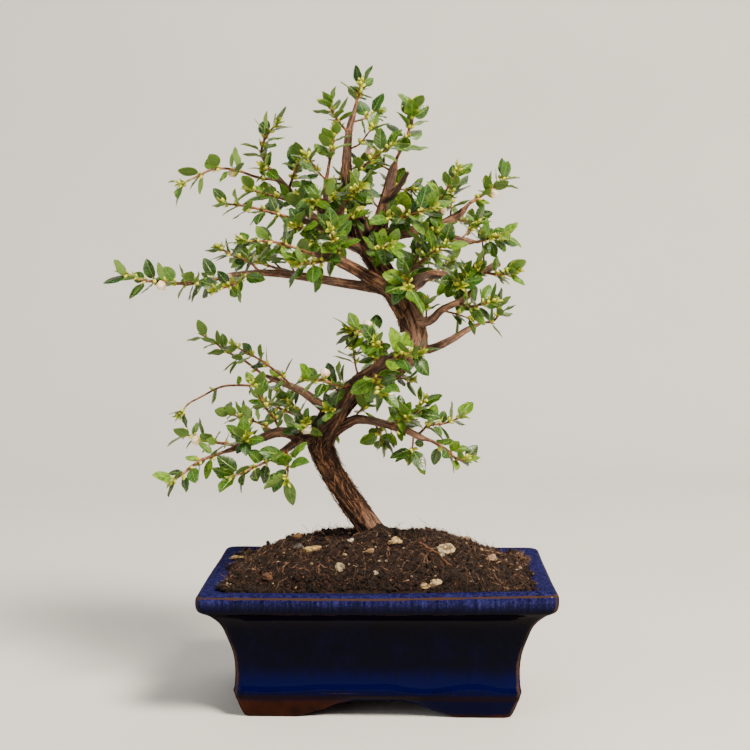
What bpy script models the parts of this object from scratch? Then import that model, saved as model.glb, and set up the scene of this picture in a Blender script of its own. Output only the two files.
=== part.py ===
"""A cotoneaster bonsai in a glazed rectangular pot.

Lengths are millimetres until a mesh is made, and metres from there on. X runs
along the pot's long side, Y to its back and Z up. The sizes and the routes are
given from the middle of the pot's foot, and the last step moves everything so
that the origin is under the middle of the whole object's box.
"""

import math
from collections import namedtuple

import bpy
import numpy as np
from mathutils import Vector
from mathutils.bvhtree import BVHTree

MM = 0.001
SEAT_GAP = 0.3

# Pot
RIM_HALF_X = 100.0
RIM_HALF_Y = 75.0
LESS_IN_Y = RIM_HALF_X - RIM_HALF_Y
POT_HEIGHT = 75.0
POT_FLOOR_TOP = 17.0
POT_FLOOR_UNDER = 9.5
CORNER_RADIUS = 5.0
CORNER_STEPS = 2
FRONT_RIM_SAG = 1.5
SAG_FADE = 4
# Outer wall from the foot to the lip: half width along X, height.
POT_OUTSIDE = (
    (75.5, 0.0),
    (76.6, 1.7),
    (79.0, 8.0),
    (80.6, 14.0),
    (80.2, 26.8),
    (81.3, 36.6),
    (84.2, 46.3),
    (87.5, 54.4),
    (93.0, 60.7),
    (98.5, 64.0),
    (100.0, 67.0),
    (100.0, 73.4),
    (98.8, 75.0),
)
# Inner wall from the lip to the floor.
POT_INSIDE = (
    (88.6, 75.0),
    (86.8, 73.4),
    (85.6, 64.0),
    (80.6, 56.0),
    (76.8, 47.0),
    (74.6, 37.0),
    (73.2, 17.0),
)
FOOT_INNER_HALF_X = 66.0
# Half width and height of the arches in the foot's long sides.
FOOT_ARCHES = ((45.0, 0.0), (38.0, 2.2), (31.0, 4.2), (23.0, 7.6), (13.5, 9.5))
ARCH_CUTTER_DROP = 3.0
ARCH_CUTTER_FLARE = 1.0
SIDE_ARCH_SHARE = 0.66
DRAIN_RADIUS = 7.0
DRAIN_OFFSET = 38.0
DRAIN_SIDES = 16
DRAIN_CUTTER_REACH = 5.0

# Soil
SOIL_WALL_GAP = 0.4
SOIL_EDGE = 73.2
SOIL_EDGE_SHARE = 0.9
SOIL_PEAK = 104.0
SOIL_PEAK_AT = (4.0, 2.0)
SOIL_REACH = 0.92
SOIL_FULLNESS = 0.85
SOIL_RINGS = (1.0, 0.9, 0.76, 0.6, 0.43, 0.25)
SOIL_LUMP = 1.6
SOIL_LUMP_LENGTHS = (9.0, 7.5, 5.0, 6.0)
SOIL_SMALL_LUMP = 0.6
SOIL_LUMP_FADE = 2.2
TRUNK_HOLE_POINTS = 6
TRUNK_HOLE_DEEPER = 0.4
TRUNK_HOLE_WIDER = 0.45

# Wood
BARK_RIDGES = 6
BARK_TWISTS = (1.3, 0.7)
BARK_BROAD_WAVE = 0.6
PLAIN_BELOW = 109.0
TRUNK_STEP = 11.0
LIMB_STEP = 14.0
STEEP = 0.9
COLLAR_LENGTH = 1.3
COLLAR_SIDES = 4
COLLAR_RADII = (1.38, 1.2)

# Twigs
TWIG_SIDES = 3
TWIG_TAPER = 0.35
STATION_LENGTH = 1.7
STATION_SWELLING = 1.12
STATION_TURN = math.radians(50)
STATION_CROWDING = 0.85
FIRST_STATION = 4.5
TIP_LENGTH = 1.6
TIP_BEYOND = 0.9
TIP_SHORTER = 0.2

# Leaves: each section is a share of the length and a share of the width.
BLADE_THICKNESS = 0.7
BLADE_SECTIONS = ((0.36, 0.92), (0.70, 0.80))
SMALL_BLADE_SECTIONS = ((0.48, 1.0),)
SMALL_BLADE = 12.0
BLADE_FOOT = 0.3
LEAN = (66.0, 40.0)
LEAN_SPREAD = 12.0
LEAN_TRY = 2.0
SWING_SPREAD = 18.0
SWING_TRY = 0.22
LIFT = 0.12
LIGHT_FROM = np.array((-0.05, -0.35, 0.75))
OUTWARD_PULL = 0.5
TIP_PULL = 0.35
LEAF_SCATTER = 0.42
CROWN_RADIUS = 75.0
LEAF_LENGTHS = (0.84, 1.14)
LEAF_WIDTHS = (0.52, 0.62)
LEAF_DROOPS = (0.06, 0.20)
SHORTER_TRY = 0.965
TRIES = 16
PROBE_MARGIN = 0.45
PROBE_FOOT = (0.2, 0.6)
PROBE_TIP_WIDTH = 0.06
YOUNG_LEAF = 3.6
YOUNG_LEAF_TIP = 0.35
YOUNG_LEAF_LEAN = 0.9

# Flower buds
BLOOM_LENGTH = 5.6
BLOOM_WIDTH = 4.4
BLOOM_SECTIONS = ((0.22, 0.42), (0.55, 1.0), (0.85, 0.72))
BLOOM_LEAN = 0.5
BLOOM_LIFT = 0.5

SEED = 1811

Limb = namedtuple("Limb", "name sides radii points ridge")
Spray = namedtuple("Spray", "name leaves size radius points blooms", defaults=((),))
Leaf = namedtuple("Leaf", "root ahead up length width droop")

TRUNK = Limb(
    "trunk",
    10,
    (8.4, 8.0, 7.2, 6.7, 7.0, 7.8, 7.0, 6.6, 6.5, 6.8, 7.6, 7.3, 6.4, 5.9, 5.6, 5.0, 4.2),
    (
        (5, 1, 80),
        (-1, 1, 92),
        (-9, 0, 104),
        (-22, -1, 123),
        (-32, -2, 142),
        (-34, -3, 153),
        (-27, -1, 167),
        (-17, 1, 179),
        (-3, 3, 187),
        (12, 5, 197),
        (20, 6, 209),
        (18, 4, 224),
        (9, 2, 239),
        (-1, 1, 255),
        (-9, 1, 268),
        (-13, 1, 281),
        (-16, 0, 294),
    ),
    0.075,
)

LIMBS = (
    Limb("leader", 7, (5.0, 4.4, 3.2, 2.2, 1.7), (
        (-13, 1, 280), (-16, 0, 293), (-19, 0, 307), (-18, 0, 330), (-14, 0, 347)), 0.06),
    Limb("low_right", 6, (4.2, 3.2, 2.6, 2.2, 2.0, 1.6), (
        (-31, -3, 154), (-19, -8, 162), (-9, -12, 165), (14, -18, 160), (23, -21, 156), (30, -23, 154)),
        0.05),
    Limb("front", 6, (4.2, 3.8, 3.5, 3.2, 2.9, 2.6, 2.3), (
        (-33, -6, 153), (-25, -15, 165), (-17, -21, 181), (-12, -25, 189), (-5, -28, 194), (3, -31, 201),
        (2, -33, 211)), 0.05),
    Limb("mid_left", 5, (3.4, 2.8, 2.5, 2.1, 1.7), (
        (-27, 0, 166), (-39, 5, 175), (-47, 9, 180), (-57, 12, 184), (-70, 16, 189)), 0.05),
    Limb("low_left", 6, (4.4, 3.6, 3.0, 2.4, 1.8), (
        (-33, -3, 152), (-47, -8, 155), (-59, -10, 157), (-75, -6, 151), (-85, -5, 149)), 0.05),
    Limb("low_left_front", 5, (2.2, 1.8, 1.4), ((-73, -6, 152), (-84, -14, 148), (-91, -18, 146)), 0.0),
    Limb("low_left_stubs", 5, (2.6, 2.2, 1.7), ((-45, -7, 154), (-55, -18, 147), (-60, -26, 144)), 0.0),
    Limb("right_lowest", 5, (3.0, 2.6, 2.2, 1.8, 1.4), (
        (20, 6, 205), (30, 10, 205), (42, 14, 210), (52, 18, 216), (61, 22, 220)), 0.04),
    Limb("right_lower", 5, (3.4, 2.6, 2.2, 2.0, 1.8), (
        (18, 4, 222), (29, -4, 222), (37, -9, 229), (49, -14, 235), (56, -17, 242)), 0.04),
    Limb("right_front", 5, (2.8, 2.2, 1.6), ((6, 1, 243), (15, -9, 250), (24, -18, 256)), 0.0),
    Limb("right_middle", 6, (3.4, 2.8, 2.4, 2.3, 2.3), (
        (10, 2, 238), (27, 6, 249), (42, 9, 248), (57, 12, 249), (71, 16, 256)), 0.05),
    Limb("right_upper", 6, (4.4, 3.8, 3.2, 2.4, 1.8), (
        (-7, 1, 265), (4, 4, 272), (30, 10, 276), (46, 15, 284), (53, 18, 291)), 0.06),
    Limb("right_upper_front", 5, (2.8, 2.4, 2.0), ((27, 10, 275), (47, 1, 269), (57, -4, 268)), 0.04),
    Limb("long_left", 6, (4.2, 3.4, 3.0, 2.6, 2.2, 1.8, 1.5), (
        (8, 3, 238), (-1, 9, 241), (-16, 12, 243), (-47, 8, 248), (-66, 2, 250), (-84, -5, 249),
        (-92, -9, 247)), 0.05),
    Limb("shiny_left", 6, (4.6, 4.0, 3.2, 2.5), (
        (15, 2, 226), (4, -10, 241), (-23, -22, 257), (-38, -29, 261)), 0.04),
    Limb("upper_left", 5, (3.0, 2.4, 2.1, 1.8), (
        (-10, -1, 264), (-27, -6, 273), (-40, -12, 279), (-52, -20, 282)), 0.04),
    Limb("crown_left", 6, (4.0, 3.0, 2.6, 2.3, 2.0, 1.6), (
        (-10, 2, 267), (-25, 8, 274), (-41, 13, 284), (-54, 19, 298), (-61, 21, 306), (-68, 24, 314)), 0.05),
    Limb("leader_side", 5, (2.4, 1.9, 1.5, 1.1), (
        (-22, -4, 271), (-29, -10, 284), (-31, -11, 298), (-29, -12, 311)), 0.0),
    Limb("front_upper", 6, (3.2, 2.9, 2.7), ((-24, -5, 272), (-24, -12, 281), (-20, -16, 290)), 0.05),
    Limb("right_leader", 7, (5.4, 4.6, 3.9, 3.2, 2.8, 2.4), (
        (-8, 1, 262), (-1, 4, 275), (2, 5, 285), (4, 5, 294), (7, 6, 307), (10, 6, 317)), 0.08),
    Limb("dead_stub_right", 5, (2.4, 1.8, 1.0), ((3, 4, 291), (11, 1, 300), (17, 0, 309)), 0.0),
    Limb("dead_stub_left", 5, (2.4, 1.9, 1.4), ((-22, 5, 272), (-34, 1, 287), (-41, 0, 301)), 0.0),
    Limb("back_low", 5, (3.4, 2.6, 1.8), ((-3, 3, 187), (0, 18, 187), (3, 34, 190)), 0.04),
    Limb("back_low_left", 5, (3.2, 2.4, 1.7), ((-31, -1, 158), (-42, 20, 161), (-54, 33, 164)), 0.04),
    Limb("back_right", 5, (3.4, 2.6, 1.8), ((12, 3, 235), (20, 19, 241), (28, 33, 245)), 0.04),
    Limb("back_left", 5, (3.4, 2.6, 1.8), ((-4, 1, 260), (-13, 19, 264), (-22, 35, 267)), 0.04),
    Limb("back_top", 5, (3.0, 2.4, 1.7), ((-14, 1, 282), (-15, 15, 287), (-16, 29, 291)), 0.04),
    Limb("back_upper_right", 5, (2.8, 2.2, 1.6), ((2, 5, 284), (12, 19, 287), (21, 31, 289)), 0.04),
    Limb("back_long_left", 5, (2.4, 2.0, 1.5), ((-47, 8, 248), (-55, 19, 250), (-64, 30, 253)), 0.04),
)

# Each route starts on the middle line of the limb that carries it.
SPRAYS = (
    Spray("low_right_tip", 8, 13, 1.0, ((30, -23, 154), (39, -25, 149), (45, -28, 144), (52, -30, 144))),
    Spray("low_right_up", 9, 15, 0.9, ((6, -17, 162), (12, -22, 164), (21, -27, 170), (26, -31, 178))),
    Spray("low_right_far", 7, 13, 0.8, ((22, -21, 157), (29, -16, 162), (38, -14, 163), (48, -15, 167))),
    Spray("low_right_back", 6, 13, 0.8, ((-2, -14, 165), (4, -6, 160), (11, 2, 157), (17, 9, 158))),
    Spray("front_drooping", 6, 17, 0.8, ((-3, -29, 195), (-1, -38, 190), (2, -46, 184))),
    Spray("front_top", 9, 15, 0.9, ((2, -33, 211), (-2, -34, 215), (-9, -36, 217), (-17, -38, 218)), (1,)),
    Spray("front_right", 9, 17, 0.9, ((2, -31, 200), (10, -35, 202), (17, -39, 205), (23, -42, 205)), (1,)),
    Spray("front_left", 10, 14, 0.9, ((-14, -24, 187), (-21, -30, 186), (-30, -35, 189), (-40, -39, 191)), (2,)),
    Spray("back_low", 8, 15, 0.9, ((3, 34, 190), (2, 44, 193), (-4, 56, 197), (-10, 65, 202))),
    Spray("mid_left_droop", 6, 10, 0.8, (
        (-62, 14, 186), (-73, 10, 183), (-85, 11, 183), (-95, 10, 182), (-107, 7, 176), (-114, 5, 172),
        (-118, 3, 166))),
    Spray("mid_left_up", 9, 12, 0.9, (
        (-70, 16, 189), (-83, 20, 198), (-94, 23, 203), (-100, 25, 208), (-108, 28, 212))),
    Spray("mid_left_thin", 8, 12, 0.8, ((-52, 10, 182), (-59, 5, 190), (-71, 2, 199), (-85, -1, 207))),
    Spray("low_left_back", 7, 12, 0.8, ((-60, -10, 157), (-70, -1, 161), (-80, 4, 164), (-91, 9, 166))),
    Spray("low_left_up", 7, 12, 0.9, (
        (-57, -10, 157), (-61, -15, 166), (-66, -18, 173), (-69, -20, 180), (-72, -23, 187))),
    Spray("low_left_long", 9, 12, 1.0, ((-85, -5, 149), (-97, 0, 150), (-107, 5, 152), (-118, 9, 154)), (2,)),
    Spray("low_left_front", 9, 12, 1.0, ((-91, -18, 146), (-103, -26, 142), (-111, -31, 136), (-118, -35, 131))),
    Spray("low_left_stubs", 8, 14, 0.9, ((-60, -26, 144), (-67, -32, 141), (-75, -38, 138), (-83, -42, 135))),
    Spray("low_left_hanging", 6, 17, 0.8, ((-54, -16, 148), (-52, -28, 144), (-51, -38, 139), (-51, -45, 134))),
    Spray("low_left_junction", 6, 12, 0.8, ((-46, -8, 155), (-44, -17, 160), (-42, -26, 164)), (1,)),
    Spray("low_left_middle", 7, 13, 0.8, ((-76, -8, 151), (-78, -19, 153), (-75, -30, 156)), (1,)),
    Spray("back_low_left", 8, 14, 0.9, ((-54, 33, 164), (-64, 43, 167), (-74, 52, 171))),
    Spray("long_left_tip", 18, 13, 1.1, (
        (-92, -9, 247), (-102, -14, 245), (-114, -18, 244), (-125, -22, 245), (-135, -26, 246),
        (-145, -29, 250)), (4,)),
    Spray("long_left_front", 8, 13, 0.9, ((-79, -3, 249), (-79, -13, 247), (-84, -23, 243), (-91, -31, 241)), (1,)),
    Spray("long_left_upper", 8, 13, 0.9, ((-70, 1, 250), (-76, 4, 256), (-86, 6, 260), (-95, 7, 265))),
    Spray("back_long_left", 8, 14, 0.9, ((-64, 30, 253), (-74, 38, 256), (-85, 46, 260))),
    Spray("shiny_left_tip", 9, 13, 0.9, ((-38, -29, 261), (-52, -34, 266), (-62, -37, 268), (-76, -39, 268))),
    Spray("shiny_left_front", 8, 16, 0.9, ((-28, -24, 259), (-34, -36, 256), (-45, -45, 255))),
    Spray("shiny_left_up", 9, 14, 0.9, ((-21, -21, 256), (-23, -32, 264), (-25, -42, 270), (-26, -50, 274)), (1,)),
    Spray("upper_left_front", 9, 13, 0.9, ((-52, -20, 282), (-63, -26, 285), (-76, -31, 288), (-87, -34, 289))),
    Spray("upper_left_inner", 7, 14, 0.8, ((-38, -11, 278), (-42, -21, 276), (-48, -31, 276))),
    Spray("crown_left_far", 10, 13, 0.9, (
        (-60, 21, 305), (-74, 17, 307), (-86, 12, 311), (-98, 8, 311), (-108, 3, 306), (-116, -1, 302)), (1,)),
    Spray("crown_left_tip", 9, 13, 0.9, ((-68, 24, 314), (-71, 22, 322), (-68, 18, 331), (-61, 14, 338))),
    Spray("crown_left_up", 9, 15, 0.9, ((-55, 19, 299), (-51, 13, 308), (-46, 8, 318))),
    Spray("crown_left_low", 7, 15, 0.8, ((-46, 15, 289), (-56, 5, 293), (-66, -4, 296), (-75, -10, 298))),
    Spray("leader_left", 8, 13, 0.9, ((-29, -12, 311), (-27, -14, 321), (-25, -16, 331))),
    Spray("leader_top_left", 8, 13, 0.8, ((-18, 0, 331), (-24, -4, 338), (-29, -6, 347))),
    Spray("top", 9, 13, 0.9, ((-14, 0, 347), (-12, 0, 354), (-10, 0, 361))),
    Spray("leader_right", 7, 13, 0.8, ((-18, 0, 306), (-10, -5, 311), (-2, -9, 317), (7, -13, 323)), (1,)),
    Spray("leader_low", 7, 14, 0.8, ((-30, -11, 292), (-34, -20, 292), (-37, -29, 290))),
    Spray("front_upper", 9, 14, 1.0, ((-20, -16, 290), (-15, -26, 295), (-10, -37, 298)), (1,)),
    Spray("back_top", 8, 14, 0.9, ((-16, 29, 291), (-18, 41, 295), (-20, 54, 301))),
    Spray("right_leader_top", 10, 14, 1.0, ((10, 6, 317), (14, 4, 325), (18, 2, 336), (20, 0, 347))),
    Spray("upper_right_front", 10, 14, 1.0, ((2, 5, 283), (9, -9, 281), (18, -20, 283), (31, -29, 287)), (1,)),
    Spray("upper_right_shoot", 8, 13, 0.9, ((30, 10, 276), (34, 1, 287), (39, -4, 298), (45, -8, 309)), (0,)),
    Spray("far_right_up", 9, 13, 1.0, ((53, 18, 291), (62, 21, 297), (70, 24, 303), (74, 27, 307)), (1,)),
    Spray("far_right_front", 9, 14, 0.9, ((57, -4, 268), (64, -9, 270), (71, -14, 271))),
    Spray("far_right_back", 7, 14, 0.9, ((44, 14, 283), (49, 26, 281), (58, 35, 281))),
    Spray("back_upper_right", 8, 14, 0.9, ((21, 31, 289), (28, 41, 292), (34, 51, 297))),
    Spray("right_front_up", 8, 14, 0.9, ((24, -18, 256), (31, -25, 262), (38, -32, 266)), (1,)),
    Spray("front_centre", 9, 14, 0.9, ((-3, 0, 257), (-2, -17, 261), (2, -29, 264), (7, -40, 266)), (1,)),
    Spray("right_middle_tip", 8, 13, 0.9, ((60, 13, 250), (70, 8, 249), (79, 4, 250))),
    Spray("right_middle_front", 8, 15, 0.9, ((40, 9, 248), (44, -4, 246), (47, -16, 243))),
    Spray("right_lower", 8, 14, 0.9, ((45, -12, 233), (53, -22, 231), (65, -28, 234))),
    Spray("centre_drooping", 7, 17, 0.9, ((14, -8, 249), (16, -21, 247), (17, -33, 242))),
    Spray("right_lowest", 6, 11, 0.8, ((61, 22, 220), (68, 25, 221), (71, 26, 225), (71, 27, 231))),
    Spray("back_right", 8, 14, 0.9, ((28, 33, 245), (35, 45, 248), (42, 57, 253))),
    Spray("back_left", 9, 14, 0.9, ((-22, 35, 267), (-31, 47, 269), (-41, 58, 273))),
)


class Solid:
    """Points and faces gathered before they become one mesh."""

    def __init__(self):
        self.points = []
        self.faces = []

    def ring(self, points):
        """Adds points and returns their numbers."""
        start = len(self.points)
        self.points.extend(points)
        return list(range(start, len(self.points)))

    def bridge(self, lower, upper, skip=()):
        """Joins two rings that run the same way round, except on the sides in skip."""
        count = len(lower)
        for side in range(count):
            if side not in skip:
                after = (side + 1) % count
                self.faces.append((lower[side], lower[after], upper[after], upper[side]))

    def cap(self, ring, facing_back=False):
        self.faces.append(tuple(reversed(ring)) if facing_back else tuple(ring))

    def point_over(self, ring, point):
        """Closes a ring with a fan of triangles that meet at a point."""
        (top,) = self.ring([point])
        for side, corner in enumerate(ring):
            self.faces.append((corner, ring[(side + 1) % len(ring)], top))


def clear_scene():
    for obj in list(bpy.data.objects):
        bpy.data.objects.remove(obj, do_unlink=True)


def make_material(name, colour, roughness, coat=0.0):
    material = bpy.data.materials.new(name)
    material.use_nodes = True
    shader = material.node_tree.nodes["Principled BSDF"]
    shader.inputs["Base Color"].default_value = (*colour, 1.0)
    shader.inputs["Roughness"].default_value = roughness
    shader.inputs["Metallic"].default_value = 0.0
    shader.inputs["Coat Weight"].default_value = coat
    return material


def make_object(name, solid, material):
    """One object whose mesh holds the solid in metres."""
    mesh = bpy.data.meshes.new(name)
    mesh.from_pydata((np.array(solid.points) * MM).tolist(), [], solid.faces)
    mesh.update()
    mesh.materials.append(material)
    obj = bpy.data.objects.new(name, mesh)
    bpy.context.scene.collection.objects.link(obj)
    return obj


def apply_modifiers(obj):
    bpy.context.view_layer.update()
    graph = bpy.context.evaluated_depsgraph_get()
    mesh = bpy.data.meshes.new_from_object(obj.evaluated_get(graph))
    obj.modifiers.clear()
    obj.data = mesh


def boolean_with(base, others, operation):
    """Joins or cuts the base with all the others at once, then removes them."""
    pieces = bpy.data.collections.new(base.name + "_pieces")
    bpy.context.scene.collection.children.link(pieces)
    for other in others:
        bpy.context.scene.collection.objects.unlink(other)
        pieces.objects.link(other)
    modifier = base.modifiers.new(operation.title(), "BOOLEAN")
    modifier.operation = operation
    modifier.operand_type = "COLLECTION"
    modifier.collection = pieces
    modifier.solver = "MANIFOLD"
    apply_modifiers(base)
    for other in others:
        bpy.data.objects.remove(other, do_unlink=True)
    bpy.data.collections.remove(pieces)


def unit(vector):
    return vector / np.linalg.norm(vector)


def across(vector, direction):
    """The part of a vector that is square to a direction, at length one."""
    return unit(vector - direction * np.dot(vector, direction))


def smooth_route(points, values, step):
    """A Catmull-Rom curve through the points, and the values eased along it."""
    points = np.array(points, float)
    values = np.array(values, float)
    padded = np.vstack([2 * points[0] - points[1], points, 2 * points[-1] - points[-2]])
    route = [points[0]]
    eased = [values[0]]
    for index in range(len(points) - 1):
        before, start, end, after = padded[index : index + 4]
        count = max(1, round(np.linalg.norm(end - start) / step))
        for share in np.arange(1, count + 1) / count:
            bend = (
                2 * start
                + (end - before) * share
                + (2 * before - 5 * start + 4 * end - after) * share**2
                + (3 * start - before - 3 * end + after) * share**3
            )
            route.append(bend / 2)
            eased.append(values[index] + (values[index + 1] - values[index]) * share)
    return np.array(route), np.array(eased)


def frames_along(route):
    """Directions along a route, and a side direction that turns as little as it can."""
    ahead = np.gradient(route, axis=0)
    ahead /= np.linalg.norm(ahead, axis=1)[:, None]
    start = np.array((0.0, 0.0, 1.0)) if abs(ahead[0][2]) < STEEP else np.array((0.0, -1.0, 0.0))
    sides = [across(start, ahead[0])]
    for direction in ahead[1:]:
        sides.append(across(sides[-1], direction))
    return ahead, np.array(sides)


def circle_points(centre, ahead, side, radii, turn=0.0):
    """Points round a centre, anticlockwise as seen from ahead of it, one for each radius."""
    angles = turn + np.arange(len(radii)) * 2 * math.pi / len(radii)
    other = np.cross(ahead, side)
    return centre + (np.outer(np.cos(angles), side) + np.outer(np.sin(angles), other)) * radii[:, None]


def tube(route, radii, sides, ridge=0.0, plain_below=None):
    """A closed tube. Ridges of bark run along it, except below the given height."""
    solid = Solid()
    ahead, side = frames_along(route)
    angles = np.arange(sides) * 2 * math.pi / sides
    rings = []
    for index, centre in enumerate(route):
        buried = plain_below is not None and centre[2] < plain_below
        relief = 0.0 if buried else ridge
        waves = np.cos(BARK_RIDGES * angles + index * BARK_TWISTS[0])
        waves += BARK_BROAD_WAVE * np.cos(2 * angles + index * BARK_TWISTS[1])
        shape = radii[index] * (1 + relief * waves)
        rings.append(solid.ring(circle_points(centre, ahead[index], side[index], shape)))
    for lower, upper in zip(rings, rings[1:]):
        solid.bridge(lower, upper)
    solid.cap(rings[0], facing_back=True)
    solid.cap(rings[-1])
    return solid


def limb_route(limb):
    step = TRUNK_STEP if limb is TRUNK else LIMB_STEP
    return smooth_route(limb.points, limb.radii, step)


# Pot


def rounded_rectangle(half_x, half_y, radius, height):
    """Points anticlockwise round a rectangle with round corners and a point amid each side."""
    points = []
    side_middles = ((0, half_y), (-half_x, 0), (0, -half_y), (half_x, 0))
    for corner, middle in enumerate(side_middles):
        start = corner * math.pi / 2
        toward_x = 1 if corner in (0, 3) else -1
        toward_y = 1 if corner in (0, 1) else -1
        for step in range(CORNER_STEPS + 1):
            angle = start + step * math.pi / 2 / CORNER_STEPS
            points.append((
                toward_x * (half_x - radius) + radius * math.cos(angle),
                toward_y * (half_y - radius) + radius * math.sin(angle),
                height,
            ))
        points.append((*middle, height))
    return np.array(points)


def pot_ring(half_x, height):
    """One level of the pot, whose front rim sags a little."""
    points = rounded_rectangle(half_x, half_x - LESS_IN_Y, CORNER_RADIUS, height)
    share = max(0.0, (height - POT_FLOOR_TOP) / (POT_HEIGHT - POT_FLOOR_TOP)) ** SAG_FADE
    sagging = np.clip(-points[:, 1] / RIM_HALF_Y, 0, 1) * (1 - np.abs(points[:, 0]) / RIM_HALF_X)
    points[:, 2] -= FRONT_RIM_SAG * share * sagging
    return points


def foot_arch(half_width_scale, length, along_x):
    """A cutter with the foot's arch as its outline, run right through the foot."""
    outline = [(half * half_width_scale, height) for half, height in FOOT_ARCHES]
    outline[0] = (outline[0][0] + ARCH_CUTTER_FLARE, -ARCH_CUTTER_DROP)
    outline = outline + [(-half, height) for half, height in reversed(outline)]
    solid = Solid()
    ends = []
    for place in (-length, length):
        if along_x:
            ends.append(solid.ring([(place, half, height) for half, height in outline]))
        else:
            ends.append(solid.ring([(-half, place, height) for half, height in outline]))
    solid.bridge(ends[0], ends[1])
    solid.cap(ends[0], facing_back=True)
    solid.cap(ends[1])
    return solid


def drain_hole(centre_x):
    ends = (POT_FLOOR_UNDER - DRAIN_CUTTER_REACH, POT_FLOOR_TOP + DRAIN_CUTTER_REACH)
    route = np.array([(centre_x, 0, height) for height in ends], float)
    return tube(route, np.full(2, DRAIN_RADIUS), DRAIN_SIDES)


def make_pot(material):
    """The pot: an outer and an inner wall, a floor on a ring foot, four arches and two drain holes."""
    solid = Solid()
    outer = [solid.ring(pot_ring(half, height)) for half, height in POT_OUTSIDE]
    inner = [solid.ring(pot_ring(half, height)) for half, height in POT_INSIDE]
    levels = outer + inner
    for lower, upper in zip(levels, levels[1:]):
        solid.bridge(lower, upper)
    solid.cap(levels[-1])
    foot = [solid.ring(pot_ring(FOOT_INNER_HALF_X, height)) for height in (POT_FLOOR_UNDER, 0.0)]
    solid.bridge(foot[0], foot[1])
    solid.bridge(foot[1], outer[0])
    solid.cap(foot[0], facing_back=True)
    pot = make_object("pot", solid, material)
    cutters = [
        make_object("arch_long", foot_arch(1.0, RIM_HALF_Y, False), material),
        make_object("arch_short", foot_arch(SIDE_ARCH_SHARE, RIM_HALF_X, True), material),
        make_object("drain_left", drain_hole(-DRAIN_OFFSET), material),
        make_object("drain_right", drain_hole(DRAIN_OFFSET), material),
    ]
    for cutter in cutters:
        boolean_with(pot, [cutter], "DIFFERENCE")
    return pot


# Soil


def soil_height(x, y):
    """The mound: highest by the trunk, with broad lumps that fade out at the wall."""
    off_x = (x - SOIL_PEAK_AT[0]) / RIM_HALF_X
    off_y = (y - SOIL_PEAK_AT[1]) / RIM_HALF_Y
    away = np.minimum(1.0, np.sqrt(off_x**2 + off_y**2) / SOIL_REACH)
    mound = SOIL_EDGE + (SOIL_PEAK - SOIL_EDGE) * (0.5 + 0.5 * np.cos(math.pi * away)) ** SOIL_FULLNESS
    long_x, long_y, short_x, short_y = SOIL_LUMP_LENGTHS
    lumps = np.sin(x / long_x + 1) * np.cos(y / long_y) + SOIL_SMALL_LUMP * np.sin(x / short_x - y / short_y)
    return mound + SOIL_LUMP * lumps * np.clip(SOIL_LUMP_FADE * (1 - away), 0, 1)


def make_soil(material):
    """The soil fills the pot a seat's gap inside its wall, and stands above its lip as a mound."""
    solid = Solid()
    levels = [(half - SOIL_WALL_GAP, height) for half, height in reversed(POT_INSIDE[2:])]
    levels[0] = (levels[0][0], POT_FLOOR_TOP + SEAT_GAP)
    rings = [solid.ring(rounded_rectangle(half, half - LESS_IN_Y, CORNER_RADIUS, height)) for half, height in levels]
    below_edge, above_edge = POT_INSIDE[2][0], POT_INSIDE[1][0]
    edge_half = below_edge + (above_edge - below_edge) * SOIL_EDGE_SHARE - SOIL_WALL_GAP
    for share in SOIL_RINGS:
        points = rounded_rectangle(edge_half * share, (edge_half - LESS_IN_Y) * share, CORNER_RADIUS * share, 0)
        points[:, 2] = soil_height(points[:, 0], points[:, 1])
        if share == SOIL_RINGS[0]:
            points[:, 2] = SOIL_EDGE
        rings.append(solid.ring(points))
    for lower, upper in zip(rings, rings[1:]):
        solid.bridge(lower, upper)
    solid.cap(rings[0], facing_back=True)
    solid.point_over(rings[-1], np.array((0.0, 0.0, soil_height(0.0, 0.0))))
    soil = make_object("soil", solid, material)
    route, radii = limb_route(TRUNK)
    route[0] -= TRUNK_HOLE_DEEPER * unit(route[1] - route[0])
    shape = tube(route[:TRUNK_HOLE_POINTS], radii[:TRUNK_HOLE_POINTS] + TRUNK_HOLE_WIDER, TRUNK.sides)
    hole = make_object("trunk_hole", shape, material)
    boolean_with(soil, [hole], "DIFFERENCE")
    return soil


# Wood and sprays


def limb_solid(limb):
    route, radii = limb_route(limb)
    return tube(route, radii, limb.sides, limb.ridge, PLAIN_BELOW if limb is TRUNK else None)


def carrier_of(point):
    """The limb whose middle line passes nearest to a point: its distance, place, direction and radius."""
    best = None
    for limb in (TRUNK, *LIMBS):
        route, radii = limb_route(limb)
        starts, spans = route[:-1], np.diff(route, axis=0)
        shares = np.clip(np.sum((point - starts) * spans, axis=1) / np.sum(spans**2, axis=1), 0, 1)
        places = starts + spans * shares[:, None]
        gaps = np.linalg.norm(places - point, axis=1)
        near = int(np.argmin(gaps))
        if best is None or gaps[near] < best[0]:
            at_end = near == len(starts) - 1 and shares[near] > 0.999
            radius = radii[near] + (radii[near + 1] - radii[near]) * shares[near]
            best = (gaps[near], places[near], at_end, radius, unit(spans[near]))
    return best


def seat_spray(spray):
    """Where the twig starts. Returns its route, and the collar under it unless it goes on from a limb's end."""
    points = np.array(spray.points, float)
    _, place, at_end, radius, ahead = carrier_of(points[0])
    if at_end:
        points[0] = place + ahead * SEAT_GAP
        return points, None, ahead
    outward = unit(points[1] - place)
    top = place + outward * (radius + COLLAR_LENGTH)
    points[0] = top + outward * SEAT_GAP
    return points, (place, top), outward


def twig_route(spray):
    """The twig's middle line, one millimetre apart, from its seat."""
    points, collar, outward = seat_spray(spray)
    route, _ = smooth_route(points, np.zeros(len(points)), 1.0)
    return route, collar, outward


def collar_solid(spray, collar):
    return tube(np.array(collar), spray.radius * np.array(COLLAR_RADII), COLLAR_SIDES)


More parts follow.
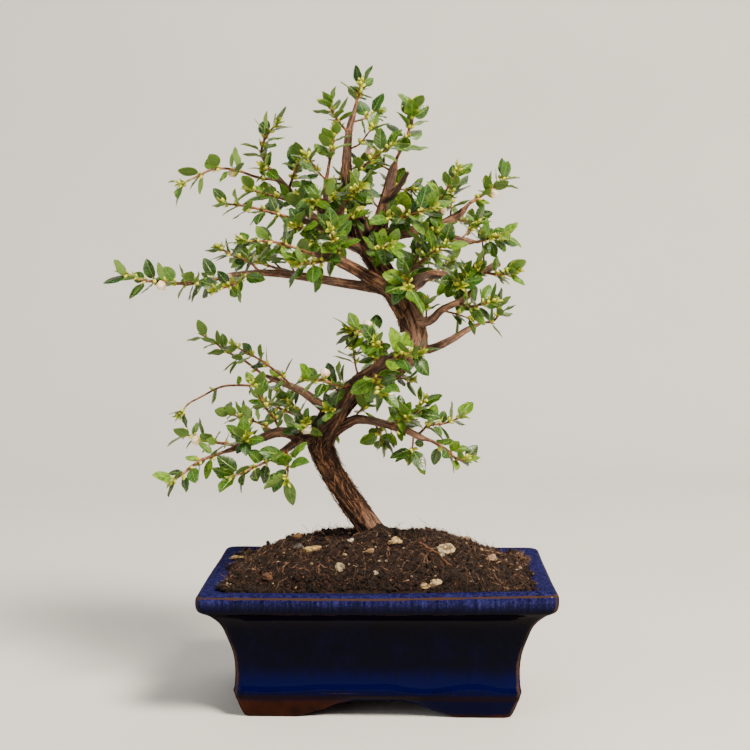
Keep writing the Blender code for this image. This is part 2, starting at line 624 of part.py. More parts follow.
def station_places(length, count):
    """Distances along a twig for its pairs of leaves, closer together towards the tip."""
    last = length - TIP_LENGTH - STATION_LENGTH
    shares = np.linspace(0, 1, count) ** STATION_CROWDING
    return FIRST_STATION + (last - FIRST_STATION) * shares


class Twig:
    """A three-sided twig with short stations, whose sides carry the leaves and buds."""

    def __init__(self, spray, order):
        self.spray = spray
        self.chance = np.random.default_rng(SEED + order)
        route, self.collar, outward = twig_route(spray)
        ahead, side = frames_along(route)
        ahead[0] = outward
        side[0] = across(side[1], outward)
        along = np.concatenate([[0], np.cumsum(np.linalg.norm(np.diff(route, axis=0), axis=1))])
        self.length = along[-1]
        self.start_turn = self.chance.uniform(0, 2 * math.pi)
        self.count = math.ceil(spray.leaves / 2)
        self.stations = station_places(self.length, self.count)
        marks = [0.0]
        for place in self.stations:
            marks += [place, place + STATION_LENGTH]
        marks.append(self.length - TIP_SHORTER)
        self.rings = [self.ring_at(mark, index, route, ahead, side, along) for index, mark in enumerate(marks)]
        self.tip = route[-1] + ahead[-1] * TIP_BEYOND
        middles = [ring.mean(axis=0) for ring in self.rings]
        self.aheads = [unit(middles[2 * k + 2] - middles[2 * k + 1]) for k in range(self.count)]

    def ring_at(self, mark, index, route, ahead, side, along):
        place = np.array([np.interp(mark, along, route[:, axis]) for axis in range(3)])
        direction = unit(np.array([np.interp(mark, along, ahead[:, axis]) for axis in range(3)]))
        edge = across(np.array([np.interp(mark, along, side[:, axis]) for axis in range(3)]), direction)
        radius = self.spray.radius * (1.0 - TWIG_TAPER * mark / self.length)
        if index % 2 == 0 and index > 0:
            radius *= STATION_SWELLING
        station = max(0, math.ceil(index / 2) - 1)
        turn = self.start_turn + station * STATION_TURN
        return circle_points(place, direction, edge, np.full(TWIG_SIDES, radius), turn)

    def side_loop(self, station, side):
        """The four corners of one side of a station, anticlockwise from outside."""
        lower, upper = self.rings[2 * station + 1], self.rings[2 * station + 2]
        after = (side + 1) % TWIG_SIDES
        return np.array([lower[side], lower[after], upper[after], upper[side]])

    def shell(self):
        """The bare twig as points and faces, for testing what crosses it."""
        solid = Solid()
        rings = [solid.ring(ring) for ring in self.rings]
        for lower, upper in zip(rings, rings[1:]):
            solid.bridge(lower, upper)
        solid.cap(rings[0], facing_back=True)
        solid.point_over(rings[-1], self.tip)
        return solid


class Crowd:
    """What stands in the way: boxes round shapes, with a tree of faces for each."""

    def __init__(self):
        self.entries = []

    def add(self, solid, owner=None):
        points = np.array(solid.points)
        tree = BVHTree.FromPolygons([Vector(p) for p in points], solid.faces)
        self.entries.append((points.min(axis=0), points.max(axis=0), tree, owner))

    def crossed_by(self, solid, ignore=None):
        points = np.array(solid.points)
        low, high = points.min(axis=0), points.max(axis=0)
        tree = None
        for entry_low, entry_high, entry_tree, owner in self.entries:
            if owner is not None and owner == ignore:
                continue
            if (entry_low > high).any() or (entry_high < low).any():
                continue
            if tree is None:
                tree = BVHTree.FromPolygons([Vector(p) for p in points], solid.faces)
            if tree.overlap(entry_tree):
                return True
        return False


def blade_section(leaf, share, half_width, half_thickness):
    """Four corners across the blade, anticlockwise as seen from its tip."""
    centre = leaf.root + leaf.ahead * leaf.length * share - leaf.up * leaf.length * leaf.droop * share**2
    ahead = unit(leaf.ahead - leaf.up * 2 * leaf.droop * share)
    up = across(leaf.up, ahead)
    right = np.cross(up, ahead)
    return np.array([
        centre + right * half_width - up * half_thickness,
        centre + right * half_width + up * half_thickness,
        centre - right * half_width + up * half_thickness,
        centre - right * half_width - up * half_thickness,
    ])


def sections_of(leaf):
    return SMALL_BLADE_SECTIONS if leaf.length < SMALL_BLADE else BLADE_SECTIONS


def probe_solid(leaf):
    """The blade without its foot, grown by a margin all round."""
    half = leaf.width / 2
    thick = BLADE_THICKNESS / 2 + PROBE_MARGIN
    solid = Solid()
    shares = [PROBE_FOOT, *sections_of(leaf), (1 + PROBE_MARGIN / leaf.length, PROBE_TIP_WIDTH)]
    rings = [solid.ring(blade_section(leaf, share, half * width + PROBE_MARGIN, thick)) for share, width in shares]
    for lower, upper in zip(rings, rings[1:]):
        solid.bridge(lower, upper)
    solid.cap(rings[0], facing_back=True)
    solid.cap(rings[-1])
    return solid


def matched_turn(root, section):
    """How far to count the section's corners round so that the foot twists least."""
    spread = root - root.mean(axis=0)
    spread = spread / np.linalg.norm(spread, axis=1)[:, None]
    aim = section - section.mean(axis=0)
    flat = aim / np.linalg.norm(aim, axis=1)[:, None]
    scores = [np.sum(spread * np.roll(flat, -turn, axis=0)) for turn in range(4)]
    return int(np.argmax(scores))


def grow_blade(solid, root, root_points, leaf):
    """Grows the leaf out of a loop of four points. Both faces are split the same way."""
    half = leaf.width / 2
    thick = BLADE_THICKNESS / 2
    turn = matched_turn(root_points, blade_section(leaf, BLADE_FOOT, 1.0, 1.0))
    below = [root[(corner - turn) % 4] for corner in range(4)]
    for share, width in sections_of(leaf):
        ring = solid.ring(blade_section(leaf, share, half * width, thick))
        for side in range(4):
            after = (side + 1) % 4
            if side == 3:
                solid.faces.append((below[side], below[after], ring[side]))
                solid.faces.append((below[after], ring[after], ring[side]))
            else:
                solid.faces.append((below[side], below[after], ring[after]))
                solid.faces.append((below[side], ring[after], ring[side]))
        below = ring
    tip = blade_section(leaf, 1.0, 0.0, thick)
    low, high = solid.ring([tip[0], tip[1]])
    solid.faces.append((below[0], below[1], high, low))
    solid.faces.append((below[1], below[2], high))
    solid.faces.append((below[2], below[3], low, high))
    solid.faces.append((below[3], below[0], low))


def grow_young_leaf(solid, root, centre, ahead, along):
    """A folded young leaf: four corners drawn out to a short upright edge."""
    tip = centre + ahead * YOUNG_LEAF
    low, high = solid.ring([tip - along * YOUNG_LEAF_TIP, tip + along * YOUNG_LEAF_TIP])
    solid.faces.append((root[0], root[1], low))
    solid.faces.append((root[1], root[2], high, low))
    solid.faces.append((root[2], root[3], high))
    solid.faces.append((root[3], root[0], low, high))


def bloom_rings(centre, ahead, side):
    """A closed flower bud on a short stalk: three square rings and its point."""
    rings = []
    for share, width in BLOOM_SECTIONS:
        place = centre + ahead * BLOOM_LENGTH * share
        radii = np.full(4, BLOOM_WIDTH / 2 * width)
        rings.append(circle_points(place, ahead, side, radii, math.pi / 4))
    return rings, centre + ahead * BLOOM_LENGTH


def grow_bloom(solid, root, root_points, ahead, side):
    rings, point = bloom_rings(root_points.mean(axis=0), ahead, side)
    turn = matched_turn(root_points, rings[0])
    below = [root[(corner - turn) % 4] for corner in range(4)]
    for points in rings:
        ring = solid.ring(points)
        solid.bridge(below, ring)
        below = ring
    solid.point_over(below, point)


def bloom_probe(centre, ahead, side):
    solid = Solid()
    rings, point = bloom_rings(centre, ahead, side)
    numbers = [solid.ring(points) for points in rings]
    for lower, upper in zip(numbers, numbers[1:]):
        solid.bridge(lower, upper)
    solid.cap(numbers[0], facing_back=True)
    solid.point_over(numbers[-1], point + ahead * PROBE_MARGIN)
    return solid


def side_outward(loop):
    return unit(np.cross(loop[1] - loop[0], loop[3] - loop[0]))


def candidate_leaf(twig, station, side, attempt):
    """One way to set a leaf on a station's side: leaning forward, its face turned to the sky."""
    chance = twig.chance
    loop = twig.side_loop(station, side)
    outward = side_outward(loop)
    ahead = twig.aheads[station]
    share = station / max(1, twig.count - 1)
    lean = LEAN[0] + (LEAN[1] - LEAN[0]) * share
    lean = math.radians(lean + chance.uniform(-1, 1) * LEAN_SPREAD + chance.uniform(-1, 1) * LEAN_TRY * attempt)
    swing = math.radians(chance.uniform(-1, 1) * SWING_SPREAD * (1 + SWING_TRY * attempt))
    beside = np.cross(ahead, outward)
    outward = outward * math.cos(swing) + beside * math.sin(swing)
    direction = unit(ahead * math.cos(lean) + outward * math.sin(lean) + np.array((0, 0, LIFT)))
    rim_ward = loop.mean(axis=0) * np.array((1.0, 1.0, 0.0)) / CROWN_RADIUS
    light = LIGHT_FROM + OUTWARD_PULL * rim_ward + TIP_PULL * ahead + chance.normal(0, LEAF_SCATTER, 3)
    up = across(light, direction)
    length = twig.spray.size * chance.uniform(*LEAF_LENGTHS) * SHORTER_TRY**attempt
    width = length * chance.uniform(*LEAF_WIDTHS)
    droop = chance.uniform(*LEAF_DROOPS)
    return Leaf(loop.mean(axis=0), direction, up, length, width, droop)


def place_leaves(twig, crowd):
    """Leaves that cross nothing, as a dictionary from (station, side). One that never fits is left out."""
    own = Crowd()
    own.add(twig.shell())
    placed = {}
    blooms = {}
    for station in twig.spray.blooms:
        loop = twig.side_loop(station, 2)
        ahead = unit(side_outward(loop) + BLOOM_LEAN * twig.aheads[station] + np.array((0, 0, BLOOM_LIFT)))
        blooms[station, 2] = ahead
        probe = bloom_probe(loop.mean(axis=0), ahead, twig.aheads[station])
        own.add(probe)
        crowd.add(probe, twig.spray.name)
    wanted = twig.spray.leaves
    for station in reversed(range(twig.count)):
        for side in (0, 1):
            if len(placed) == wanted:
                break
            for attempt in range(TRIES):
                leaf = candidate_leaf(twig, station, side, attempt)
                probe = probe_solid(leaf)
                if own.crossed_by(probe) or crowd.crossed_by(probe, twig.spray.name):
                    continue
                placed[station, side] = leaf
                own.add(probe)
                crowd.add(probe, twig.spray.name)
                break
    return placed, blooms


def spray_solid(twig, leaves, blooms):
    """The twig with its leaves, young leaves and flower buds grown out of it as one surface."""
    solid = Solid()
    rings = [solid.ring(ring) for ring in twig.rings]
    solid.cap(rings[0], facing_back=True)
    solid.point_over(rings[-1], twig.tip)
    for index in range(len(rings) - 1):
        station = index // 2
        is_station = index % 2 == 1 and station < twig.count
        taken = []
        if is_station:
            taken = [side for side in range(2) if (station, side) in leaves]
            if station % 2 == 0 or (station, 2) in blooms:
                taken.append(2)
        solid.bridge(rings[index], rings[index + 1], skip=taken)
        for side in taken:
            after = (side + 1) % TWIG_SIDES
            root = [rings[index][side], rings[index][after], rings[index + 1][after], rings[index + 1][side]]
            loop = twig.side_loop(station, side)
            if (station, side) in blooms:
                grow_bloom(solid, root, loop, blooms[station, side], twig.aheads[station])
            elif side == 2:
                lean = unit(side_outward(loop) + YOUNG_LEAF_LEAN * twig.aheads[station])
                grow_young_leaf(solid, root, loop.mean(axis=0), lean, twig.aheads[station])
            else:
                grow_blade(solid, root, loop, leaves[station, side])
    return solid


def make_plant(bark, leaf_green):
    """Joins trunk, limbs and collars into one solid, and sets a leafy spray on every collar and limb end."""
    twigs = [Twig(spray, order) for order, spray in enumerate(SPRAYS)]
    crowd = Crowd()
    for limb in (TRUNK, *LIMBS):
        crowd.add(limb_solid(limb))
    for twig in twigs:
        crowd.add(twig.shell(), twig.spray.name)
    wood = make_object("wood", limb_solid(TRUNK), bark)
    pieces = [make_object("limb_" + limb.name, limb_solid(limb), bark) for limb in LIMBS]
    for twig in twigs:
        if twig.collar is not None:
            collar = collar_solid(twig.spray, twig.collar)
            pieces.append(make_object("collar_" + twig.spray.name, collar, bark))
    boolean_with(wood, pieces, "UNION")
    for twig in twigs:
        leaves, blooms = place_leaves(twig, crowd)
        make_object("spray_" + twig.spray.name, spray_solid(twig, leaves, blooms), leaf_green)


def origin_to_bottom_centre():
    """Moves every object so that the origin is under the middle of the box round all of them."""
    bpy.context.view_layer.update()
    corners = np.array([
        obj.matrix_world @ vertex.co for obj in bpy.data.objects for vertex in obj.data.vertices
    ])
    low, high = corners.min(axis=0), corners.max(axis=0)
    shift = Vector((-(low[0] + high[0]) / 2, -(low[1] + high[1]) / 2, -low[2]))
    for obj in bpy.data.objects:
        obj.location += shift


def main():
    clear_scene()
    glaze = make_material("cobalt_glaze", (0.012, 0.028, 0.16), 0.16, coat=0.6)
    peat = make_material("peat", (0.035, 0.022, 0.014), 0.95)
    bark = make_material("bark", (0.14, 0.075, 0.045), 0.85)
    leaf_green = make_material("leaf_green", (0.10, 0.22, 0.05), 0.35)
    make_pot(glaze)
    make_soil(peat)
    make_plant(bark, leaf_green)
    origin_to_bottom_centre()


main()
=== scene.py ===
"""The looks of a cotoneaster bonsai in its glazed pot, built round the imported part.

Shapes are worked out in millimetres from the middle of the pot's foot, with X along
the pot's long side, Y to its back and Z up. They are moved into the part's own frame,
in metres, when they become meshes.
"""

import logging
import math
from dataclasses import dataclass, field, replace
from enum import Enum
from typing import Optional, Sequence, Union

import bpy
import numpy as np
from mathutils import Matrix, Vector
from mathutils.bvhtree import BVHTree


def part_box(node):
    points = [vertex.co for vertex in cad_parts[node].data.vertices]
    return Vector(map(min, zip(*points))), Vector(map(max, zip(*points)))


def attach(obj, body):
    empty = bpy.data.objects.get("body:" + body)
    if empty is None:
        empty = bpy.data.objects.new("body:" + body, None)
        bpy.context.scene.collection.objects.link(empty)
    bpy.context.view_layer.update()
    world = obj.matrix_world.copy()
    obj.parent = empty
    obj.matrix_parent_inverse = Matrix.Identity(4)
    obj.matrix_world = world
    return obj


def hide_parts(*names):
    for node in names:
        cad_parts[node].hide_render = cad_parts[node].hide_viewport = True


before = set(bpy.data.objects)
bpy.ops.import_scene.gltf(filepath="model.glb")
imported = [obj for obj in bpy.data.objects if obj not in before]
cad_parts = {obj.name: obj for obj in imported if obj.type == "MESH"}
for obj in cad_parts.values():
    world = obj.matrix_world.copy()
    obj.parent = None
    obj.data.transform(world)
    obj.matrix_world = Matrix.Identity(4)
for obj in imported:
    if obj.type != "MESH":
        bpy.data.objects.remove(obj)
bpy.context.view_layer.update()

Array = np.ndarray
Chance = np.random.Generator
Mesh = bpy.types.Mesh
Look = bpy.types.Material
Piece = bpy.types.Object
Shell = tuple[np.ndarray, list]
Pair = tuple[float, float]
Place = tuple[float, float, float]
Steps = tuple[float, ...]
Profile = tuple[Pair, ...]
Colour = tuple[int, int, int]
Colours = tuple[Colour, ...]

LOG = logging.getLogger("bonsai")
BODY = "root"
MM = 0.001
SEAT_GAP = 0.3
SEED = 1811
CIRCLE = 2 * math.pi
UP = np.array((0.0, 0.0, 1.0))


@dataclass(frozen=True)
class Limb:
    """One limb of the tree: its middle line from the trunk outwards, and its radii along it."""

    name: str
    sides: int
    radii: Steps
    points: tuple[Place, ...]
    ridge: float


@dataclass(frozen=True)
class Sprig:
    """One leafy twig: its route starts on the middle line of the limb that carries it.

    blooms are the numbers of the stations that bear a flower bud.
    """

    name: str
    leaves: int
    size: float
    radius: float
    points: tuple[Place, ...]
    blooms: tuple[int, ...] = ()


class Skin(Enum):
    """The surfaces that one leafy twig shows, in the order of its material slots."""

    LEAF = 0
    TWIG = 1
    PETAL = 2


TRUNK = Limb(
    "trunk", 10,
    (8.4, 8.0, 7.2, 6.7, 7.0, 7.8, 7.0, 6.6, 6.5, 6.8, 7.6, 7.3, 6.4, 5.9, 5.6, 5.0, 4.2), (
        (5, 1, 80), (-1, 1, 92), (-9, 0, 104), (-22, -1, 123), (-32, -2, 142), (-34, -3, 153), (-27, -1, 167),
        (-17, 1, 179), (-3, 3, 187), (12, 5, 197), (20, 6, 209), (18, 4, 224), (9, 2, 239), (-1, 1, 255),
        (-9, 1, 268), (-13, 1, 281), (-16, 0, 294)),
    0.075)

LIMBS = (
    Limb("leader", 7, (5.0, 4.4, 3.2, 2.2, 1.7), (
        (-13, 1, 280), (-16, 0, 293), (-19, 0, 307), (-18, 0, 330), (-14, 0, 347)), 0.06),
    Limb("low_right", 6, (4.2, 3.2, 2.6, 2.2, 2.0, 1.6), (
        (-31, -3, 154), (-19, -8, 162), (-9, -12, 165), (14, -18, 160), (23, -21, 156), (30, -23, 154)),
        0.05),
    Limb("front", 6, (4.2, 3.8, 3.5, 3.2, 2.9, 2.6, 2.3), (
        (-33, -6, 153), (-25, -15, 165), (-17, -21, 181), (-12, -25, 189), (-5, -28, 194), (3, -31, 201),
        (2, -33, 211)), 0.05),
    Limb("mid_left", 5, (3.4, 2.8, 2.5, 2.1, 1.7), (
        (-27, 0, 166), (-39, 5, 175), (-47, 9, 180), (-57, 12, 184), (-70, 16, 189)), 0.05),
    Limb("low_left", 6, (4.4, 3.6, 3.0, 2.4, 1.8), (
        (-33, -3, 152), (-47, -8, 155), (-59, -10, 157), (-75, -6, 151), (-85, -5, 149)), 0.05),
    Limb("low_left_front", 5, (2.2, 1.8, 1.4), ((-73, -6, 152), (-84, -14, 148), (-91, -18, 146)), 0.0),
    Limb("low_left_stubs", 5, (2.6, 2.2, 1.7), ((-45, -7, 154), (-55, -18, 147), (-60, -26, 144)), 0.0),
    Limb("right_lowest", 5, (3.0, 2.6, 2.2, 1.8, 1.4), (
        (20, 6, 205), (30, 10, 205), (42, 14, 210), (52, 18, 216), (61, 22, 220)), 0.04),
    Limb("right_lower", 5, (3.4, 2.6, 2.2, 2.0, 1.8), (
        (18, 4, 222), (29, -4, 222), (37, -9, 229), (49, -14, 235), (56, -17, 242)), 0.04),
    Limb("right_front", 5, (2.8, 2.2, 1.6), ((6, 1, 243), (15, -9, 250), (24, -18, 256)), 0.0),
    Limb("right_middle", 6, (3.4, 2.8, 2.4, 2.3, 2.3), (
        (10, 2, 238), (27, 6, 249), (42, 9, 248), (57, 12, 249), (71, 16, 256)), 0.05),
    Limb("right_upper", 6, (4.4, 3.8, 3.2, 2.4, 1.8), (
        (-7, 1, 265), (4, 4, 272), (30, 10, 276), (46, 15, 284), (53, 18, 291)), 0.06),
    Limb("right_upper_front", 5, (2.8, 2.4, 2.0), ((27, 10, 275), (47, 1, 269), (57, -4, 268)), 0.04),
    Limb("long_left", 6, (4.2, 3.4, 3.0, 2.6, 2.2, 1.8, 1.5), (
        (8, 3, 238), (-1, 9, 241), (-16, 12, 243), (-47, 8, 248), (-66, 2, 250), (-84, -5, 249),
        (-92, -9, 247)), 0.05),
    Limb("shiny_left", 6, (4.6, 4.0, 3.2, 2.5), (
        (15, 2, 226), (4, -10, 241), (-23, -22, 257), (-38, -29, 261)), 0.04),
    Limb("upper_left", 5, (3.0, 2.4, 2.1, 1.8), (
        (-10, -1, 264), (-27, -6, 273), (-40, -12, 279), (-52, -20, 282)), 0.04),
    Limb("crown_left", 6, (4.0, 3.0, 2.6, 2.3, 2.0, 1.6), (
        (-10, 2, 267), (-25, 8, 274), (-41, 13, 284), (-54, 19, 298), (-61, 21, 306), (-68, 24, 314)), 0.05),
    Limb("leader_side", 5, (2.4, 1.9, 1.5, 1.1), (
        (-22, -4, 271), (-29, -10, 284), (-31, -11, 298), (-29, -12, 311)), 0.0),
    Limb("front_upper", 6, (3.2, 2.9, 2.7), ((-24, -5, 272), (-24, -12, 281), (-20, -16, 290)), 0.05),
    Limb("right_leader", 7, (5.4, 4.6, 3.9, 3.2, 2.8, 2.4), (
        (-8, 1, 262), (-1, 4, 275), (2, 5, 285), (4, 5, 294), (7, 6, 307), (10, 6, 317)), 0.08),
    Limb("dead_stub_right", 5, (2.4, 1.8, 1.0), ((3, 4, 291), (11, 1, 300), (17, 0, 309)), 0.0),
    Limb("dead_stub_left", 5, (2.4, 1.9, 1.4), ((-22, 5, 272), (-34, 1, 287), (-41, 0, 301)), 0.0),
    Limb("back_low", 5, (3.4, 2.6, 1.8), ((-3, 3, 187), (0, 18, 187), (3, 34, 190)), 0.04),
    Limb("back_low_left", 5, (3.2, 2.4, 1.7), ((-31, -1, 158), (-42, 20, 161), (-54, 33, 164)), 0.04),
    Limb("back_right", 5, (3.4, 2.6, 1.8), ((12, 3, 235), (20, 19, 241), (28, 33, 245)), 0.04),
    Limb("back_left", 5, (3.4, 2.6, 1.8), ((-4, 1, 260), (-13, 19, 264), (-22, 35, 267)), 0.04),
    Limb("back_top", 5, (3.0, 2.4, 1.7), ((-14, 1, 282), (-15, 15, 287), (-16, 29, 291)), 0.04),
    Limb("back_upper_right", 5, (2.8, 2.2, 1.6), ((2, 5, 284), (12, 19, 287), (21, 31, 289)), 0.04),
    Limb("back_long_left", 5, (2.4, 2.0, 1.5), ((-47, 8, 248), (-55, 19, 250), (-64, 30, 253)), 0.04),
)

SPRIGS = (
    Sprig("low_right_tip", 8, 13, 1.0, ((30, -23, 154), (39, -25, 149), (45, -28, 144), (52, -30, 144))),
    Sprig("low_right_up", 9, 15, 0.9, ((6, -17, 162), (12, -22, 164), (21, -27, 170), (26, -31, 178))),
    Sprig("low_right_far", 7, 13, 0.8, ((22, -21, 157), (29, -16, 162), (38, -14, 163), (48, -15, 167))),
    Sprig("low_right_back", 6, 13, 0.8, ((-2, -14, 165), (4, -6, 160), (11, 2, 157), (17, 9, 158))),
    Sprig("front_drooping", 6, 17, 0.8, ((-3, -29, 195), (-1, -38, 190), (2, -46, 184))),
    Sprig("front_top", 9, 15, 0.9, ((2, -33, 211), (-2, -34, 215), (-9, -36, 217), (-17, -38, 218)), (1,)),
    Sprig("front_right", 9, 17, 0.9, ((2, -31, 200), (10, -35, 202), (17, -39, 205), (23, -42, 205)), (1,)),
    Sprig("front_left", 10, 14, 0.9, (
        (-14, -24, 187), (-21, -30, 186), (-30, -35, 189), (-40, -39, 191)), (2,)),
    Sprig("back_low", 8, 15, 0.9, ((3, 34, 190), (2, 44, 193), (-4, 56, 197), (-10, 65, 202))),
    Sprig("mid_left_droop", 6, 10, 0.8, (
        (-62, 14, 186), (-73, 10, 183), (-85, 11, 183), (-95, 10, 182), (-107, 7, 176), (-114, 5, 172),
        (-118, 3, 166))),
    Sprig("mid_left_up", 9, 12, 0.9, (
        (-70, 16, 189), (-83, 20, 198), (-94, 23, 203), (-100, 25, 208), (-108, 28, 212))),
    Sprig("mid_left_thin", 8, 12, 0.8, ((-52, 10, 182), (-59, 5, 190), (-71, 2, 199), (-85, -1, 207))),
    Sprig("low_left_back", 7, 12, 0.8, ((-60, -10, 157), (-70, -1, 161), (-80, 4, 164), (-91, 9, 166))),
    Sprig("low_left_up", 7, 12, 0.9, (
        (-57, -10, 157), (-61, -15, 166), (-66, -18, 173), (-69, -20, 180), (-72, -23, 187))),
    Sprig("low_left_long", 9, 12, 1.0, ((-85, -5, 149), (-97, 0, 150), (-107, 5, 152), (-118, 9, 154)), (2,)),
    Sprig("low_left_front", 9, 12, 1.0, (
        (-91, -18, 146), (-103, -26, 142), (-111, -31, 136), (-118, -35, 131))),
    Sprig("low_left_stubs", 8, 14, 0.9, ((-60, -26, 144), (-67, -32, 141), (-75, -38, 138), (-83, -42, 135))),
    Sprig("low_left_hanging", 6, 17, 0.8, (
        (-54, -16, 148), (-52, -28, 144), (-51, -38, 139), (-51, -45, 134))),
    Sprig("low_left_junction", 6, 12, 0.8, ((-46, -8, 155), (-44, -17, 160), (-42, -26, 164)), (1,)),
    Sprig("low_left_middle", 7, 13, 0.8, ((-76, -8, 151), (-78, -19, 153), (-75, -30, 156)), (1,)),
    Sprig("back_low_left", 8, 14, 0.9, ((-54, 33, 164), (-64, 43, 167), (-74, 52, 171))),
    Sprig("long_left_tip", 18, 13, 1.1, (
        (-92, -9, 247), (-102, -14, 245), (-114, -18, 244), (-125, -22, 245), (-135, -26, 246),
        (-145, -29, 250)), (4,)),
    Sprig("long_left_front", 8, 13, 0.9, (
        (-79, -3, 249), (-79, -13, 247), (-84, -23, 243), (-91, -31, 241)), (1,)),
    Sprig("long_left_upper", 8, 13, 0.9, ((-70, 1, 250), (-76, 4, 256), (-86, 6, 260), (-95, 7, 265))),
    Sprig("back_long_left", 8, 14, 0.9, ((-64, 30, 253), (-74, 38, 256), (-85, 46, 260))),
    Sprig("shiny_left_tip", 9, 13, 0.9, ((-38, -29, 261), (-52, -34, 266), (-62, -37, 268), (-76, -39, 268))),
    Sprig("shiny_left_front", 8, 16, 0.9, ((-28, -24, 259), (-34, -36, 256), (-45, -45, 255))),
    Sprig("shiny_left_up", 9, 14, 0.9, (
        (-21, -21, 256), (-23, -32, 264), (-25, -42, 270), (-26, -50, 274)), (1,)),
    Sprig("upper_left_front", 9, 13, 0.9, (
        (-52, -20, 282), (-63, -26, 285), (-76, -31, 288), (-87, -34, 289))),
    Sprig("upper_left_inner", 7, 14, 0.8, ((-38, -11, 278), (-42, -21, 276), (-48, -31, 276))),
    Sprig("crown_left_far", 10, 13, 0.9, (
        (-60, 21, 305), (-74, 17, 307), (-86, 12, 311), (-98, 8, 311), (-108, 3, 306),
        (-116, -1, 302)), (1,)),
    Sprig("crown_left_tip", 9, 13, 0.9, ((-68, 24, 314), (-71, 22, 322), (-68, 18, 331), (-61, 14, 338))),
    Sprig("crown_left_up", 9, 15, 0.9, ((-55, 19, 299), (-51, 13, 308), (-46, 8, 318))),
    Sprig("crown_left_low", 7, 15, 0.8, ((-46, 15, 289), (-56, 5, 293), (-66, -4, 296), (-75, -10, 298))),
    Sprig("leader_left", 8, 13, 0.9, ((-29, -12, 311), (-27, -14, 321), (-25, -16, 331))),
    Sprig("leader_top_left", 8, 13, 0.8, ((-18, 0, 331), (-24, -4, 338), (-29, -6, 347))),
    Sprig("top", 9, 13, 0.9, ((-14, 0, 347), (-12, 0, 354), (-10, 0, 361))),
    Sprig("leader_right", 7, 13, 0.8, ((-18, 0, 306), (-10, -5, 311), (-2, -9, 317), (7, -13, 323)), (1,)),
    Sprig("leader_low", 7, 14, 0.8, ((-30, -11, 292), (-34, -20, 292), (-37, -29, 290))),
    Sprig("front_upper", 9, 14, 1.0, ((-20, -16, 290), (-15, -26, 295), (-10, -37, 298)), (1,)),
    Sprig("back_top", 8, 14, 0.9, ((-16, 29, 291), (-18, 41, 295), (-20, 54, 301))),
    Sprig("right_leader_top", 10, 14, 1.0, ((10, 6, 317), (14, 4, 325), (18, 2, 336), (20, 0, 347))),
    Sprig("upper_right_front", 10, 14, 1.0, (
        (2, 5, 283), (9, -9, 281), (18, -20, 283), (31, -29, 287)), (1,)),
    Sprig("upper_right_shoot", 8, 13, 0.9, ((30, 10, 276), (34, 1, 287), (39, -4, 298), (45, -8, 309)), (0,)),
    Sprig("far_right_up", 9, 13, 1.0, ((53, 18, 291), (62, 21, 297), (70, 24, 303), (74, 27, 307)), (1,)),
    Sprig("far_right_front", 9, 14, 0.9, ((57, -4, 268), (64, -9, 270), (71, -14, 271))),
    Sprig("far_right_back", 7, 14, 0.9, ((44, 14, 283), (49, 26, 281), (58, 35, 281))),
    Sprig("back_upper_right", 8, 14, 0.9, ((21, 31, 289), (28, 41, 292), (34, 51, 297))),
    Sprig("right_front_up", 8, 14, 0.9, ((24, -18, 256), (31, -25, 262), (38, -32, 266)), (1,)),
    Sprig("front_centre", 9, 14, 0.9, ((-3, 0, 257), (-2, -17, 261), (2, -29, 264), (7, -40, 266)), (1,)),
    Sprig("right_middle_tip", 8, 13, 0.9, ((60, 13, 250), (70, 8, 249), (79, 4, 250))),
    Sprig("right_middle_front", 8, 15, 0.9, ((40, 9, 248), (44, -4, 246), (47, -16, 243))),
    Sprig("right_lower", 8, 14, 0.9, ((45, -12, 233), (53, -22, 231), (65, -28, 234))),
    Sprig("centre_drooping", 7, 17, 0.9, ((14, -8, 249), (16, -21, 247), (17, -33, 242))),
    Sprig("right_lowest", 6, 11, 0.8, ((61, 22, 220), (68, 25, 221), (71, 26, 225), (71, 27, 231))),
    Sprig("back_right", 8, 14, 0.9, ((28, 33, 245), (35, 45, 248), (42, 57, 253))),
    Sprig("back_left", 9, 14, 0.9, ((-22, 35, 267), (-31, 47, 269), (-41, 58, 273))),
)


@dataclass(frozen=True)
class Habit:
    """How the shrub grows: the sizes and angles of its limbs, twigs, leaves and buds.

    The values are those that the part's solids are made with, so that each finer leaf
    lies where its solid is.
    """

    trunk_step: float = 11.0
    limb_step: float = 14.0
    ridges: int = 6
    twists: Pair = (1.3, 0.7)
    broad_wave: float = 0.6
    plain_below: float = 109.0
    steep: float = 0.9
    collar_length: float = 1.3
    twig_sides: int = 3
    twig_taper: float = 0.35
    station_length: float = 1.7
    station_swelling: float = 1.12
    station_turn: float = math.radians(50)
    station_crowding: float = 0.85
    first_station: float = 4.5
    tip_length: float = 1.6
    tip_beyond: float = 0.9
    tip_shorter: float = 0.2
    blade_thickness: float = 0.7
    blade_sections: Profile = ((0.36, 0.92), (0.70, 0.80))
    small_blade_sections: Profile = ((0.48, 1.0),)
    small_blade: float = 12.0
    lean: Pair = (66.0, 40.0)
    lean_spread: float = 12.0
    lean_try: float = 2.0
    swing_spread: float = 18.0
    swing_try: float = 0.22
    lift: float = 0.12
    light_from: Place = (-0.05, -0.35, 0.75)
    outward_pull: float = 0.5
    tip_pull: float = 0.35
    scatter: float = 0.42
    crown_radius: float = 75.0
    lengths: Pair = (0.84, 1.14)
    widths: Pair = (0.52, 0.62)
    droops: Pair = (0.06, 0.20)
    shorter_try: float = 0.965
    tries: int = 16
    margin: float = 0.45
    probe_foot: Pair = (0.2, 0.6)
    probe_tip: float = 0.06
    bloom_side: int = 2
    bloom_length: float = 5.6
    bloom_width: float = 4.4
    bloom_sections: Profile = ((0.22, 0.42), (0.55, 1.0), (0.85, 0.72))
    bloom_lean: float = 0.5
    bloom_lift: float = 0.5


HABIT = Habit()


